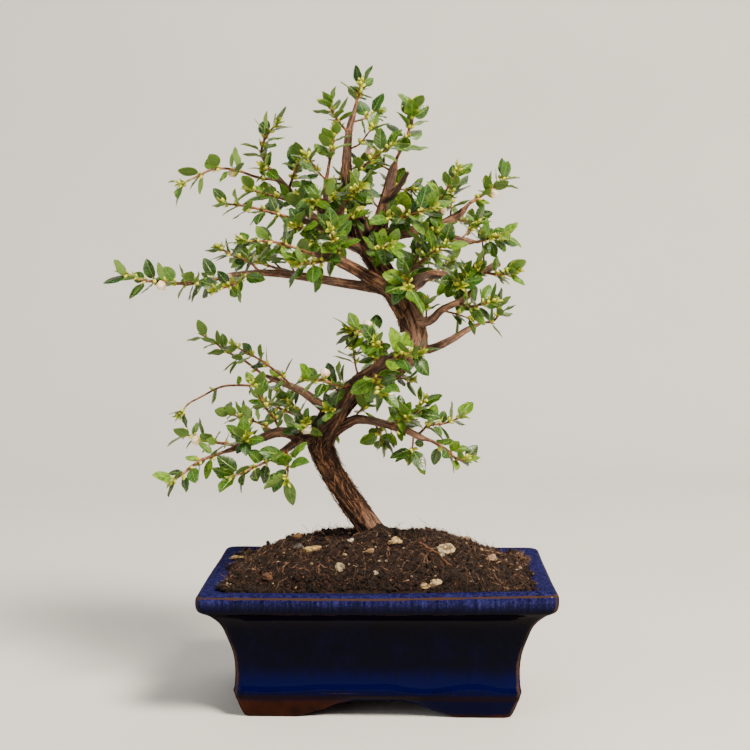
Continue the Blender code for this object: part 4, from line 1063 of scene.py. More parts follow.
class NodeBook:
    """Writes the nodes of one material or shader group."""

    def __init__(self, tree: bpy.types.NodeTree) -> None:
        """Starts on an empty tree."""
        self.tree = tree
        tree.nodes.clear()

    def feed(self, socket: bpy.types.NodeSocket, value: Input) -> None:
        """Links a socket to a value, or sets its own number."""
        if isinstance(value, Value):
            self.tree.links.new(value.socket, socket)
        else:
            socket.default_value = value

    def node(self, kind: str, inputs: dict, **settings: object) -> bpy.types.Node:
        """Adds a node.

        Args:
            kind: Its type's name without the beginning.
            inputs: Its inputs, by name or number.
            settings: Its other settings.

        Returns:
            The node.
        """
        node = self.tree.nodes.new("ShaderNode" + kind)
        for name, setting in settings.items():
            setattr(node, name, setting)
        for name, value in inputs.items():
            self.feed(node.inputs[name], value)
        return node

    def out(self, kind: str, inputs: dict, output: Union[int, str] = 0, **settings: object) -> Value:
        """Adds a node and returns what one of its outputs gives."""
        return Value(self, self.node(kind, inputs, **settings).outputs[output])

    def outs(self, kind: str, inputs: dict, **settings: object) -> list[Value]:
        """Adds a node and returns what all its outputs give."""
        return [Value(self, output) for output in self.node(kind, inputs, **settings).outputs]

    def here(self) -> Value:
        """Returns the place on the piece, in millimetres of the part's frame."""
        return self.stretch(self.out("TexCoord", {}, "Object"), (1 / MM, 1 / MM, 1 / MM))

    def attribute(self, name: str) -> Value:
        """Returns a point attribute's vector."""
        return self.out("Attribute", {}, "Vector", attribute_name=name)

    def stretch(self, vector: Value, scale: Sequence[float]) -> Value:
        """Returns a vector stretched along each axis."""
        return self.out("Mapping", {"Vector": vector, "Scale": scale})

    def parts(self, vector: Value) -> list[Value]:
        """Returns a vector's three numbers."""
        return self.outs("SeparateXYZ", {"Vector": vector})

    def noise(self, vector: Value, scale: Input, detail: float = 3.0, rough: float = 0.55) -> Value:
        """Returns noise from 0 to 1."""
        inputs = {"Vector": vector, "Scale": scale, "Detail": detail, "Roughness": rough}
        return self.out("TexNoise", inputs, "Fac")

    def math(self, operation: str, first: Value, second: Input = 0.0) -> Value:
        """Returns the result of one operation on one or two numbers."""
        return self.out("Math", {0: first, 1: second}, operation=operation)

    def most(self, first: Value, *others: Value) -> Value:
        """Returns the greatest of some numbers."""
        return self.most(self.math("MAXIMUM", first, others[0]), *others[1:]) if others else first

    def blend(self, share: Value, first: Union[Value, Colour], second: Union[Value, Colour]) -> Value:
        """Returns a colour between two colours, each of them a value or three whole numbers."""
        pair = [linear(colour) if isinstance(colour, tuple) else colour for colour in (first, second)]
        return self.out("Mix", {0: share, 6: pair[0], 7: pair[1]}, 2, data_type="RGBA")

    def ramp(self, value: Value, places: Sequence[float], colours: Colours) -> Value:
        """Finds a number's colour in a row of stops.

        Args:
            value: The number.
            places: Where the stops lie.
            colours: The colour of each.

        Returns:
            The colour.
        """
        node = self.node("ValToRGB", {"Fac": value})
        stops = node.color_ramp.elements
        for place in places[1:-1]:
            stops.new(place)
        for stop, place, colour in zip(stops, places, colours):
            stop.position, stop.color = place, linear(colour)
        return Value(self, node.outputs["Color"])

    def fade(self, value: Value, low: float, high: float, start: float = 0.0, end: float = 1.0) -> Value:
        """Returns start below low, end above high and a smooth step between them."""
        inputs = {"Value": value, 1: low, 2: high, 3: start, 4: end}
        return self.out("MapRange", inputs, interpolation_type="SMOOTHSTEP")

    def bump(self, height: Value, distance: float, strength: float) -> Value:
        """Returns the normal of a surface with a relief that is distance millimetres high."""
        return self.out("Bump", {"Height": height, "Distance": distance * MM, "Strength": strength})

    def group(self, tree: bpy.types.NodeTree, place: Value, scale: float) -> list[Value]:
        """Places a shared shader group and returns what it puts out."""
        return self.outs("Group", {0: place, 1: scale}, node_tree=tree)

    def shade(self, **inputs: Input) -> None:
        """Ends a material with its shader, whose inputs are given with underscores for spaces."""
        shader = self.out("BsdfPrincipled", {name.replace("_", " "): value for name, value in inputs.items()})
        self.node("OutputMaterial", {"Surface": shader})


def new_look(name: str) -> tuple[Look, NodeBook]:
    """Returns a new material and the book that writes its nodes."""
    material = bpy.data.materials.new(name)
    material.use_nodes = True
    return material, NodeBook(material.node_tree)


def new_group(name: str, **outputs: tuple[float, ...]) -> bpy.types.NodeTree:
    """Makes a shared shader group: noise at a place, sharpened to a mask for each output.

    Args:
        name: Its name.
        outputs: For each output the rows of its noise, as scale, detail, roughness and share,
            and last the two values between which the mask rises.

    Returns:
        The group, whose inputs are a place and a scale.
    """
    tree = bpy.data.node_groups.new(name, "ShaderNodeTree")
    for title, kind in (("Place", "Vector"), ("Scale", "Float")):
        tree.interface.new_socket(title, in_out="INPUT", socket_type="NodeSocket" + kind)
    for title in outputs:
        tree.interface.new_socket(title, in_out="OUTPUT", socket_type="NodeSocketFloat")
    book = NodeBook(tree)
    place, scale = [Value(book, socket) for socket in tree.nodes.new("NodeGroupInput").outputs[:2]]
    end = tree.nodes.new("NodeGroupOutput")
    for title, (layers, low, high) in outputs.items():
        noises = [book.noise(place, scale * finer, detail, rough) * share
                  for finer, detail, rough, share in layers]
        book.feed(end.inputs[title], book.fade(sum(noises[1:], noises[0]), low, high))
    return tree


MOTTLE = new_group("Mottle", Mask=(((1.0, 2.0, 0.55, 0.75), (4.3, 2.0, 0.55, 0.25)), 0.34, 0.66))
FIBRE = new_group(
    "Fibre", Strands=(((1.0, 4.0, 0.7, 1.0),), 0.32, 0.70), Clumps=(((0.28, 2.0, 0.55, 1.0),), 0.30, 0.68))


def tubes(routes: Array, radii: Array, sides: int) -> Array:
    """Carries circles along many routes of one length at once.

    Each ring is centre + radius * (cos(angle) * side + sin(angle) * other), where side is
    level, and the two are square to the route and to each other.

    Args:
        routes: The middle lines, as count x rows x 3.
        radii: The radius at each of their points.
        sides: The number of points in a ring.

    Returns:
        The points, as count x rows x sides x 3.
    """
    ahead = units(np.gradient(routes, axis=1))
    level = np.cross(ahead, UP)
    level[np.linalg.norm(level, axis=-1) < 0.05] = (0.0, 1.0, 0.0)
    return routes[..., None, :] + spread(ahead, units(level), angles_round(sides)) * radii[..., None, None]


def add_tubes(parts: MeshParts, routes: Array, radii: Array, sides: int, slot: int = 0,
              **values: Array) -> None:
    """Adds tubes with flat ends to a mesh, with the arguments of tubes and of MeshParts.add."""
    parts.add(tubes(routes, radii, sides), closed_faces(routes.shape[1], sides, len(routes)), slot, **values)


def lumps(chance: Chance, centres: Array, sizes: Array, frames: Array, rough: float, columns: int = 5,
          rows: int = 2, worn: bool = False) -> Array:
    """Works out lumps: ellipsoids by polar angle and turn, each point pushed in or out.

    Args:
        chance: Where the random draws come from.
        centres: The middle of each lump.
        sizes: Its three radii.
        frames: The directions of the radii.
        rough: How far its points are pushed, as a share of the radius.
        columns: The points in a ring.
        rows: The rings between the two poles.
        worn: Whether smooth noise pushes the points, and not a random draw for each.

    Returns:
        The points of each lump, its two poles last.
    """
    polar = np.linspace(math.pi, 0, rows + 2)[1:-1, None]
    turn = (np.arange(columns) + 0.5 * np.arange(rows)[:, None]) * 2 * math.pi / columns
    ball = stacked(np.sin(polar) * np.cos(turn), np.sin(polar) * np.sin(turn), np.cos(polar)).reshape(-1, 3)
    ball = np.vstack((ball, (0, 0, -1), (0, 0, 1)))
    push = chance.uniform(-1, 1, (len(centres), len(ball), 1))
    if worn:
        push = 2 * NOISE.layered(ball + centres[:, None], 0.9, 2)[..., None]
    local = ball * (1 + rough * push) * sizes[:, None]
    return centres[:, None] + np.einsum("nki,nij->nkj", local, frames)


def squares(first: Array, second: Array) -> Array:
    """Returns frames of two directions that are square to each other, and the one across them."""
    return np.stack((first, second, np.cross(first, second)), axis=-2)


def applied(piece: Piece) -> Mesh:
    """Returns an object's mesh with its modifiers applied."""
    bpy.context.view_layer.update()
    graph = bpy.context.evaluated_depsgraph_get()
    return bpy.data.meshes.new_from_object(piece.evaluated_get(graph))


def cut(mesh: Mesh, cutter: Mesh) -> Mesh:
    """Cuts one closed mesh out of another.

    Args:
        mesh: The mesh that is cut.
        cutter: What is cut out of it.

    Returns:
        The rest, as a new mesh. Both old ones are removed.
    """
    body, tool = (placed(each.name, each) for each in (mesh, cutter))
    modifier = body.modifiers.new("Cut", "BOOLEAN")
    modifier.operation = "DIFFERENCE"
    modifier.solver = "MANIFOLD"
    modifier.object = tool
    result = applied(body)
    result.materials.clear()
    for each in (body, tool):
        data = each.data
        bpy.data.objects.remove(each, do_unlink=True)
        bpy.data.meshes.remove(data)
    return result


@dataclass(frozen=True)
class GlazeFinish:
    """Cobalt glaze that has run down the walls, thin and brown where it broke over edges.

    It is near black on the walls, with painted shade darkening them below the lip, bright
    where it pooled below and on the lip, whose top and upper front face are painted lighter
    as where light falls on them, and the clay shows on the foot. Pairs of heights say where
    each zone starts and where it is full.
    """

    wall: Colours = ((2, 2, 10), (2, 3, 20), (4, 6, 40))
    # shadow: painted shade on the upper wall, below the overhanging lip
    shadow: Colour = (9, 5, 6)
    band: Colour = (0, 2, 46)
    lip: Colours = ((4, 5, 18), (13, 13, 46), (44, 44, 98))
    breaks: Colour = (58, 41, 33)
    clay: Colours = ((18, 7, 4), (56, 22, 10))
    run_scale: Place = (0.55, 0.55, 0.035)
    run_drop: float = 13.0
    cloud_scale: float = 0.055
    fleck_scale: float = 1.1
    clay_scale: float = 0.05
    shadow_zone: Pair = (50.0, 72.0)
    band_zone: Pair = (19.0, 25.0)
    band_end: Pair = (38.0, 27.0)
    # lip_face: the heights over which the painted light on the lip's front face grows
    lip_face: Pair = (64.0, 71.5)
    lip_top: Pair = (0.6, 0.95)
    step_zone: Pair = (9.5, 11.5)
    step_end: Pair = (14.5, 12.5)
    left_zone: Pair = (18.0, 0.0)
    front_zone: Pair = (20.0, -20.0)
    foot_zone: Pair = (13.5, 10.5)
    rim_zone: Pair = (4.5, 2.5)
    gloss: float = 0.2

    def make(self) -> Look:
        """Returns the material, which reads broken edges, the lip and bare clay from kind."""
        look, book = new_look("cobalt_glaze")
        here = book.here()
        height = book.parts(here)[2]
        edge, lip, raw = book.parts(book.attribute("kind"))
        runs = book.noise(book.stretch(here, self.run_scale), 1.0, 4.0, 0.6)
        (clouds,) = book.group(MOTTLE, here, self.cloud_scale)
        flecks = book.noise(here, self.fleck_scale)
        colour = self.glazed(book, height, lip, runs, clouds, flecks)
        ragged = edge + (flecks - 0.5) * 0.55 + (clouds - 0.6) * 0.35
        colour = book.blend(book.fade(ragged, 0.45, 0.85), colour, self.breaks)
        step = book.fade(height, *self.step_zone) * book.fade(height, *self.step_end)
        colour = book.blend(step * 0.75, colour, self.clay[0])
        bare = self.bare(book, here, raw, flecks)
        clay = book.ramp(book.noise(here, self.clay_scale, 4.0), (0.3, 0.7), self.clay)
        book.shade(Base_Color=book.blend(bare, colour, clay), Roughness=bare * 0.6 + flecks * self.gloss,
                   Normal=book.bump(runs * 0.7 + flecks * 0.12, 0.35, 0.4), Specular_IOR_Level=0.0,
                   Coat_Weight=book.fade(lip, *self.lip_top, 0.1, 0.015), Coat_Roughness=0.07)
        return look

    def glazed(self, book: NodeBook, height: Value, lip: Value, runs: Value, clouds: Value,
               flecks: Value) -> Value:
        """Colours the glaze: dark walls with painted shade below the lip, a blue band where it has run
        together, and a bright lip whose top and upper front face carry painted light.

        Args:
            book: The material's nodes.
            height: The height above the ground.
            lip: How far up the lip a point is.
            runs: The tone of the glaze's runs.
            clouds: The tone of its broad clouds.
            flecks: The tone of its fine flecks.

        Returns:
            The colour.
        """
        wall = book.ramp(runs * 0.75 + clouds * 0.25, (0.26, 0.55, 0.92), self.wall)
        pooled = height + runs * self.run_drop
        # painted shade: the wall is darkened towards its top, below the overhanging lip
        wall = book.blend(book.fade(pooled, *self.shadow_zone, 0.0, 0.75), wall, self.shadow)
        low = book.fade(pooled, *self.band_zone, 0.4, 1.0) * book.fade(pooled, *self.band_end)
        # painted light: the lip's top face and the upper part of its front face are made lighter, as where
        # light falls on them; the runs and flecks are the glaze's own streaks
        painted_light_on_lip_face = book.fade(height, *self.lip_face, 0.62, 1.08)
        lip_streaks_and_painted_light = (runs * 0.55 + flecks * 0.45) * book.most(painted_light_on_lip_face, book.fade(lip, *self.lip_top))
        bright = book.ramp(lip_streaks_and_painted_light, (0.3, 0.48, 0.72), self.lip)
        return book.blend(book.fade(lip, 0.0, 0.45), book.blend(low, wall, self.band), bright)

    def bare(self, book: NodeBook, here: Value, raw: Value, flecks: Value) -> Value:
        """Finds where the clay is bare: underneath, on the foot's rim and on its left front.

        Args:
            book: The material's nodes.
            here: The place on the pot.
            raw: Where the clay was never glazed.
            flecks: The tone of the fine flecks.

        Returns:
            How bare it is, from 0 to 1.
        """
        side, depth, height = book.parts(here)
        ragged = height + flecks * 3.0
        left_front = book.fade(side, *self.left_zone) * book.fade(depth, *self.front_zone)
        rim, foot = book.fade(ragged, *self.rim_zone), book.fade(ragged, *self.foot_zone)
        return book.most(raw, rim, foot * left_front)


@dataclass
class Pot:
    """The pot: flared walls on an arched foot, a thick lip, a floor with two drain holes.

    A point of the wall is found from the height on the profile and the turn round a rectangle
    with round corners. Glaze breaks along lines, each with a place on the profile, its strength
    and its width.
    """

    rim_half: float = 100.0
    less_in_y: float = 25.0
    rim_half_y: float = 75.0
    height: float = 75.0
    corner: float = 5.0
    corner_steps: int = 7
    side_steps: tuple[int, int] = (66, 48)
    outside: Profile = (
        (75.5, 0.0), (76.6, 1.7), (79.0, 8.0), (80.6, 14.0), (80.2, 26.8), (81.3, 36.6), (84.2, 46.3),
        (87.5, 54.4), (93.0, 60.7), (98.3, 64.2), (99.7, 67.0), (100.0, 70.0), (99.8, 72.6), (98.6, 74.2),
        (96.0, 75.0))
    inside: Profile = (
        (91.5, 75.0), (88.4, 74.3), (86.8, 72.4), (85.6, 64.0), (80.6, 56.0), (76.8, 47.0), (74.6, 37.0),
        (73.2, 17.0))
    step: float = 1.1
    floor_top: float = 17.0
    floor_under: float = 9.5
    floor_shares: tuple[float, float, int] = (0.06, 1.0, 12)
    foot_inner: float = 66.0
    foot_band: float = 14.0
    foot_heights: Steps = (7.0, 4.6, 2.3, 0.0)
    arch_halves: Steps = (0.0, 13.5, 23.0, 31.0, 38.0, 45.0)
    arch_heights: Steps = (9.3, 9.3, 7.6, 4.2, 2.2, 0.0)
    side_arch: float = 0.66
    drain_radius: float = 7.0
    drain_offset: float = 38.0
    drain_sides: int = 40
    drain_beyond: float = 4.0
    sag: float = 1.5
    lean: float = 1.3
    waviness: float = 0.28
    wave_length: float = 34.0
    bead_height: float = 15.8
    bead_swing: float = 1.6
    bead_swing_length: float = 26.0
    bead_push: float = 0.7
    bead_width: float = 1.5
    break_lines: tuple[tuple[Pair, float, float], ...] = (
        ((99.6, 73.2), 1.2, 1.0), ((97.5, 63.4), 0.55, 1.1), ((86.8, 72.4), 0.35, 0.6))
    corner_break: float = 0.85
    bead_break: float = 0.5
    bare_from: Pair = (16.0, 24.0)

    def plan(self) -> tuple[Array, Array]:
        """Goes once round the rectangle.

        Returns:
            For each column the place of its corner's centre, as shares of the half sizes, and
            the way outward. Between corners the place moves evenly and the way stays.
        """
        places, ways = [], []
        corners = np.array(((1, 1), (-1, 1), (-1, -1), (1, -1)), float)
        for number, corner in enumerate(corners):
            angles = (number + np.linspace(0, 1, self.corner_steps + 1)) * math.pi / 2
            places.append(np.tile(corner, (len(angles), 1)))
            ways.append(np.stack((np.cos(angles), np.sin(angles)), axis=1))
            steps = self.side_steps[number % 2]
            shares = np.arange(1, steps)[:, None] / steps
            places.append(corner + (corners[(number + 1) % 4] - corner) * shares)
            ways.append(np.tile(ways[-1][-1], (steps - 1, 1)))
        return np.vstack(places), np.vstack(ways)

    def rings(self, half_x: Array, half_y: Array, radius: Array, height: Array) -> Array:
        """Works out rows of rings as place * (half size - radius) + way * radius.

        Args:
            half_x: Each row's half length.
            half_y: Its half depth.
            radius: The radius of its corners.
            height: Its height.

        Returns:
            The points, as rows x columns x 3.
        """
        places, ways = self.plan()
        x, y, radius = (np.broadcast_to(each, height.shape)[:, None] for each in (half_x, half_y, radius))
        return stacked(places[:, 0] * (x - radius) + ways[:, 0] * radius,
                       places[:, 1] * (y - radius) + ways[:, 1] * radius, height[:, None])

    def level_rings(self, half: float, height: float, shares: Array) -> Array:
        """Returns a flat face as rings that shrink towards the middle."""
        return self.rings(half * shares, (half - self.less_in_y) * shares, self.corner * shares,
                          np.full(len(shares), height))

    def arched(self, points: Array, top: float) -> Array:
        """Squeezes the foot up into its arches: height becomes arch + height * (1 - arch / top).

        Args:
            points: Rows of rings on the foot.
            top: The height where that ends.

        Returns:
            Where the points have moved to, which is nowhere at the corners.
        """
        arch = 0.0
        is_short, is_long = np.abs(self.plan()[1].T) > 0.99
        for is_side, axis, share in ((is_short, 1, self.side_arch), (is_long, 0, 1.0)):
            rise = np.interp(np.abs(points[..., axis]) / share, self.arch_halves, self.arch_heights)
            arch = np.where(is_side, rise, arch)
        arch = arch * (points[..., 2] < top)
        return stacked(points[..., 0], points[..., 1], arch + points[..., 2] * (1 - arch / top))

    def wall(self) -> tuple[Array, Array, Array]:
        """Follows the profile from the foot over the lip to the floor.

        Returns:
            The rows of rings, the profile's half width and height for each row, and the
            distance along it.
        """
        profile = [(half, height, 0.0) for half, height in (*self.outside, *self.inside)]
        route, _ = smooth_route(profile, np.zeros(len(profile)), self.step)
        half, height = route[:, 0], np.clip(route[:, 1], 0, self.height + 0.3)
        rows = self.rings(half, half - self.less_in_y, self.corner, height)
        top = np.argmax(height > self.height - 0.2) + 1
        rows[:top] = self.arched(rows[:top], self.foot_band)
        wave = NOISE.layered(rows * (1, 1, 1.6), self.wave_length) * self.waviness
        wave *= eased(height, 0.0, 20.0)[:, None]
        away = (rows[..., 2] - self.bead(rows)) / self.bead_width
        wave[:top] += self.bead_push * np.exp(-(away[:top] ** 2))
        rows[..., :2] += self.plan()[1] * wave[..., None]
        return rows, route[:, :2], lengths_along(route)

    def bead(self, rows: Array) -> Array:
        """Returns how high the glaze's thick lower end lies, which noise moves up and down."""
        return self.bead_height + self.bead_swing * NOISE.layered(rows * (1, 1, 0), self.bead_swing_length)

    def warped(self, points: Array) -> Array:
        """Warps the rim as in the kiln: it sags in front and leans to the left.

        Args:
            points: The pot's points.

        Returns:
            Where they have moved to.
        """
        share = np.clip((points[..., 2] - self.floor_top) / (self.height - self.floor_top), 0, 1) ** 4
        front = np.clip(-points[..., 1] / self.rim_half_y, 0, 1)
        sideways = points[..., 0] / self.rim_half
        moved = points.copy()
        moved[..., 2] += share * front * (self.lean * sideways - self.sag * (1 - np.abs(sideways)))
        return moved

    def marks(self, rows: Array, profile: Array, along: Array) -> Array:
        """Marks what the glaze's look depends on.

        Args:
            rows: The wall's rows of rings.
            profile: The profile's half width and height for each row.
            along: The distance along it.

        Returns:
            For each point how much the glaze breaks there, how far up the lip it is and how bare
            the clay is.
        """
        _, ways = self.plan()
        at = [along[np.argmin(np.hypot(*(profile - place).T))] for place, _, _ in self.break_lines]
        top, under, inner = at
        line = sum(strength * np.exp(-((along - mark) / width) ** 2)
                   for mark, (_, strength, width) in zip(at, self.break_lines))
        corner = np.clip(2 * np.abs(ways[:, 0] * ways[:, 1]), 0, 1) ** 3
        is_outer = (along < top)[:, None]
        edge = np.maximum(line[:, None], corner[None] * is_outer * self.corner_break)
        below_bead = (rows[..., 2] - self.bead(rows) + 2.0) / 0.8
        edge = np.maximum(edge, self.bead_break * np.exp(-(below_bead**2)) * is_outer)
        lip = 0.5 * eased(along, under - 1.5, under + 4.0) + 0.5 * eased(along, top, top + 2.5)
        bare = eased(along, inner + self.bare_from[0], inner + self.bare_from[1])
        return stacked(edge, lip[:, None], bare[:, None])

    def build(self) -> MeshParts:
        """Returns the pot as one closed surface, from the underside's middle round to the floor's."""
        wall, profile, along = self.wall()
        shares = np.linspace(*self.floor_shares)
        under = self.level_rings(self.foot_inner, self.floor_under, shares)
        foot = self.rings(self.foot_inner, self.foot_inner - self.less_in_y, self.corner,
                          np.array(self.foot_heights))
        foot = self.arched(foot, self.floor_under)
        floor = self.level_rings(self.inside[-1][0], self.floor_top, shares[::-1][1:])
        rows = self.warped(np.concatenate((under, foot, wall, floor)))
        kinds = np.full(rows.shape, (0.0, 0.0, 1.0))
        start = len(under) + len(foot)
        kinds[start : start + len(wall)] = self.marks(wall, profile, along)
        poles = ((0, 0, self.floor_under), (0, 0, self.floor_top))
        parts = MeshParts()
        parts.add(np.vstack((rows.reshape(-1, 3), poles)), pole_faces(*rows.shape[:2]),
                  kind=np.vstack((kinds.reshape(-1, 3), ((0, 0, 1), (0, 0, 1)))))
        return parts

    def drain(self, centre_x: float) -> MeshParts:
        """Makes the round cutter of one drain hole.

        Args:
            centre_x: Where it stands along the pot.

        Returns:
            The cutter.
        """
        parts = MeshParts()
        heights = np.linspace(self.floor_under - self.drain_beyond, self.floor_top + self.drain_beyond, 3)
        add_tubes(parts, stacked(centre_x, 0.0, heights)[None], np.full((1, 3), self.drain_radius),
                  self.drain_sides, kind=(0.0, 0.0, 1.0))
        return parts

    def make(self) -> None:
        """Makes the pot with its two holes cut."""
        mesh = self.build().mesh("glazed_pot")
        for offset in (-self.drain_offset, self.drain_offset):
            mesh = cut(mesh, self.drain(offset).mesh("drain"))
        mesh.name = "glazed_pot"
        make_piece(mesh, (GlazeFinish().make(),), ("pot",), sharp=50.0)


@dataclass(frozen=True)
class Chip:
    """A piece of bark, grit or stick on the soil: where it lies, its three sizes, turn and colour."""

    x: float
    y: float
    long: float
    wide: float
    thick: float
    turn: float
    colour: Colour


CHIPS = (
    Chip(-84.0, 30.0, 18.0, 3.0, 3.0, 40, (204, 174, 118)),
    Chip(-38.6, -23.5, 9.5, 6.0, 4.0, 12, (205, 172, 110)),
    Chip(-20.1, -48.5, 6.2, 5.4, 4.2, 60, (196, 176, 138)),
    Chip(-16.8, -18.8, 4.6, 4.0, 3.4, 0, (226, 214, 190)),
    Chip(8.7, -15.5, 8.0, 5.4, 4.4, 20, (214, 184, 126)),
    Chip(-4.8, -31.0, 5.2, 3.8, 2.8, 40, (172, 140, 98)),
    Chip(-14.5, -44.0, 10.5, 1.5, 1.2, -35, (188, 162, 126)),
    Chip(-62.1, -46.0, 6.0, 5.4, 4.4, 0, (108, 74, 50)),
    Chip(-0.8, -52.2, 2.8, 4.4, 2.6, 15, (212, 196, 170)),
    Chip(38.9, -28.5, 8.0, 9.4, 6.6, 70, (204, 178, 136)),
    Chip(35.9, -35.2, 5.4, 4.6, 4.0, 0, (222, 206, 180)),
    Chip(64.2, -28.0, 5.8, 5.0, 4.2, 30, (178, 142, 112)),
    Chip(26.2, -59.0, 5.4, 4.6, 3.6, 0, (190, 158, 110)),
    Chip(33.0, -56.2, 7.0, 5.0, 4.2, 10, (196, 168, 124)),
    Chip(-46.5, -22.0, 6.8, 5.2, 4.4, -30, (98, 92, 88)),
    Chip(-49.0, 2.0, 5.0, 4.0, 3.2, 20, (120, 86, 56)),
    Chip(52.0, 22.0, 6.5, 4.2, 3.4, 50, (168, 134, 92)),
    Chip(-22.0, 34.0, 6.0, 4.6, 3.6, 0, (190, 166, 124)),
    Chip(24.0, 40.0, 7.6, 4.8, 3.8, -40, (150, 112, 72)),
    Chip(-60.0, 30.0, 7.0, 5.0, 4.0, 30, (112, 80, 54)),
    Chip(68.0, 6.0, 8.5, 1.8, 1.4, 25, (170, 138, 96)),
)


@dataclass(frozen=True)
class PeatFinish:
    """Dark, damp peat: brown to near black, with a dull surface."""

    browns: Colours = ((6, 3, 1), (32, 17, 9), (92, 55, 34))
    patch_scale: float = 0.22
    grit_scale: float = 2.2

    def make(self) -> Look:
        """Returns the material, whose tone each crumb gives in its kind."""
        look, book = new_look("peat")
        here = book.here()
        tone = book.parts(book.attribute("kind"))[0]
        (patches,) = book.group(MOTTLE, here, self.patch_scale)
        grit = book.noise(here, self.grit_scale, 4.0, 0.7)
        colour = book.ramp(tone * 0.5 + grit * 0.42 + patches * 0.14, (0.22, 0.5, 0.86), self.browns)
        book.shade(Base_Color=colour, Roughness=book.fade(patches, 0.0, 1.0, 0.98, 0.8),
                   Normal=book.bump(grit, 0.8, 0.9), Specular_IOR_Level=0.3)
        return look


@dataclass(frozen=True)
class GritFinish:
    """Bark chips, grit and root fibres, each with its own colour and a worn, grained surface."""

    name: str
    contrast: float = 0.4
    stain: Colour = (58, 40, 28)
    grain_scale: float = 1.6

    def make(self) -> Look:
        """Returns the material, which reads each chip's colour from its attribute."""
        look, book = new_look(self.name)
        strands, clumps = book.group(FIBRE, book.here(), self.grain_scale)
        shade = book.fade(strands, 0.0, 1.0, 1 - self.contrast, 1.08)
        colour = book.out("VectorMath", {0: book.attribute("tint"), "Scale": shade}, operation="SCALE")
        colour = book.blend(book.fade(clumps, 0.45, 0.75) * 0.7, colour, self.stain)
        book.shade(Base_Color=colour, Roughness=book.fade(clumps, 0.0, 1.0, 0.9, 0.7),
                   Normal=book.bump(strands, 0.4, 0.6), Specular_IOR_Level=0.3)
        return look


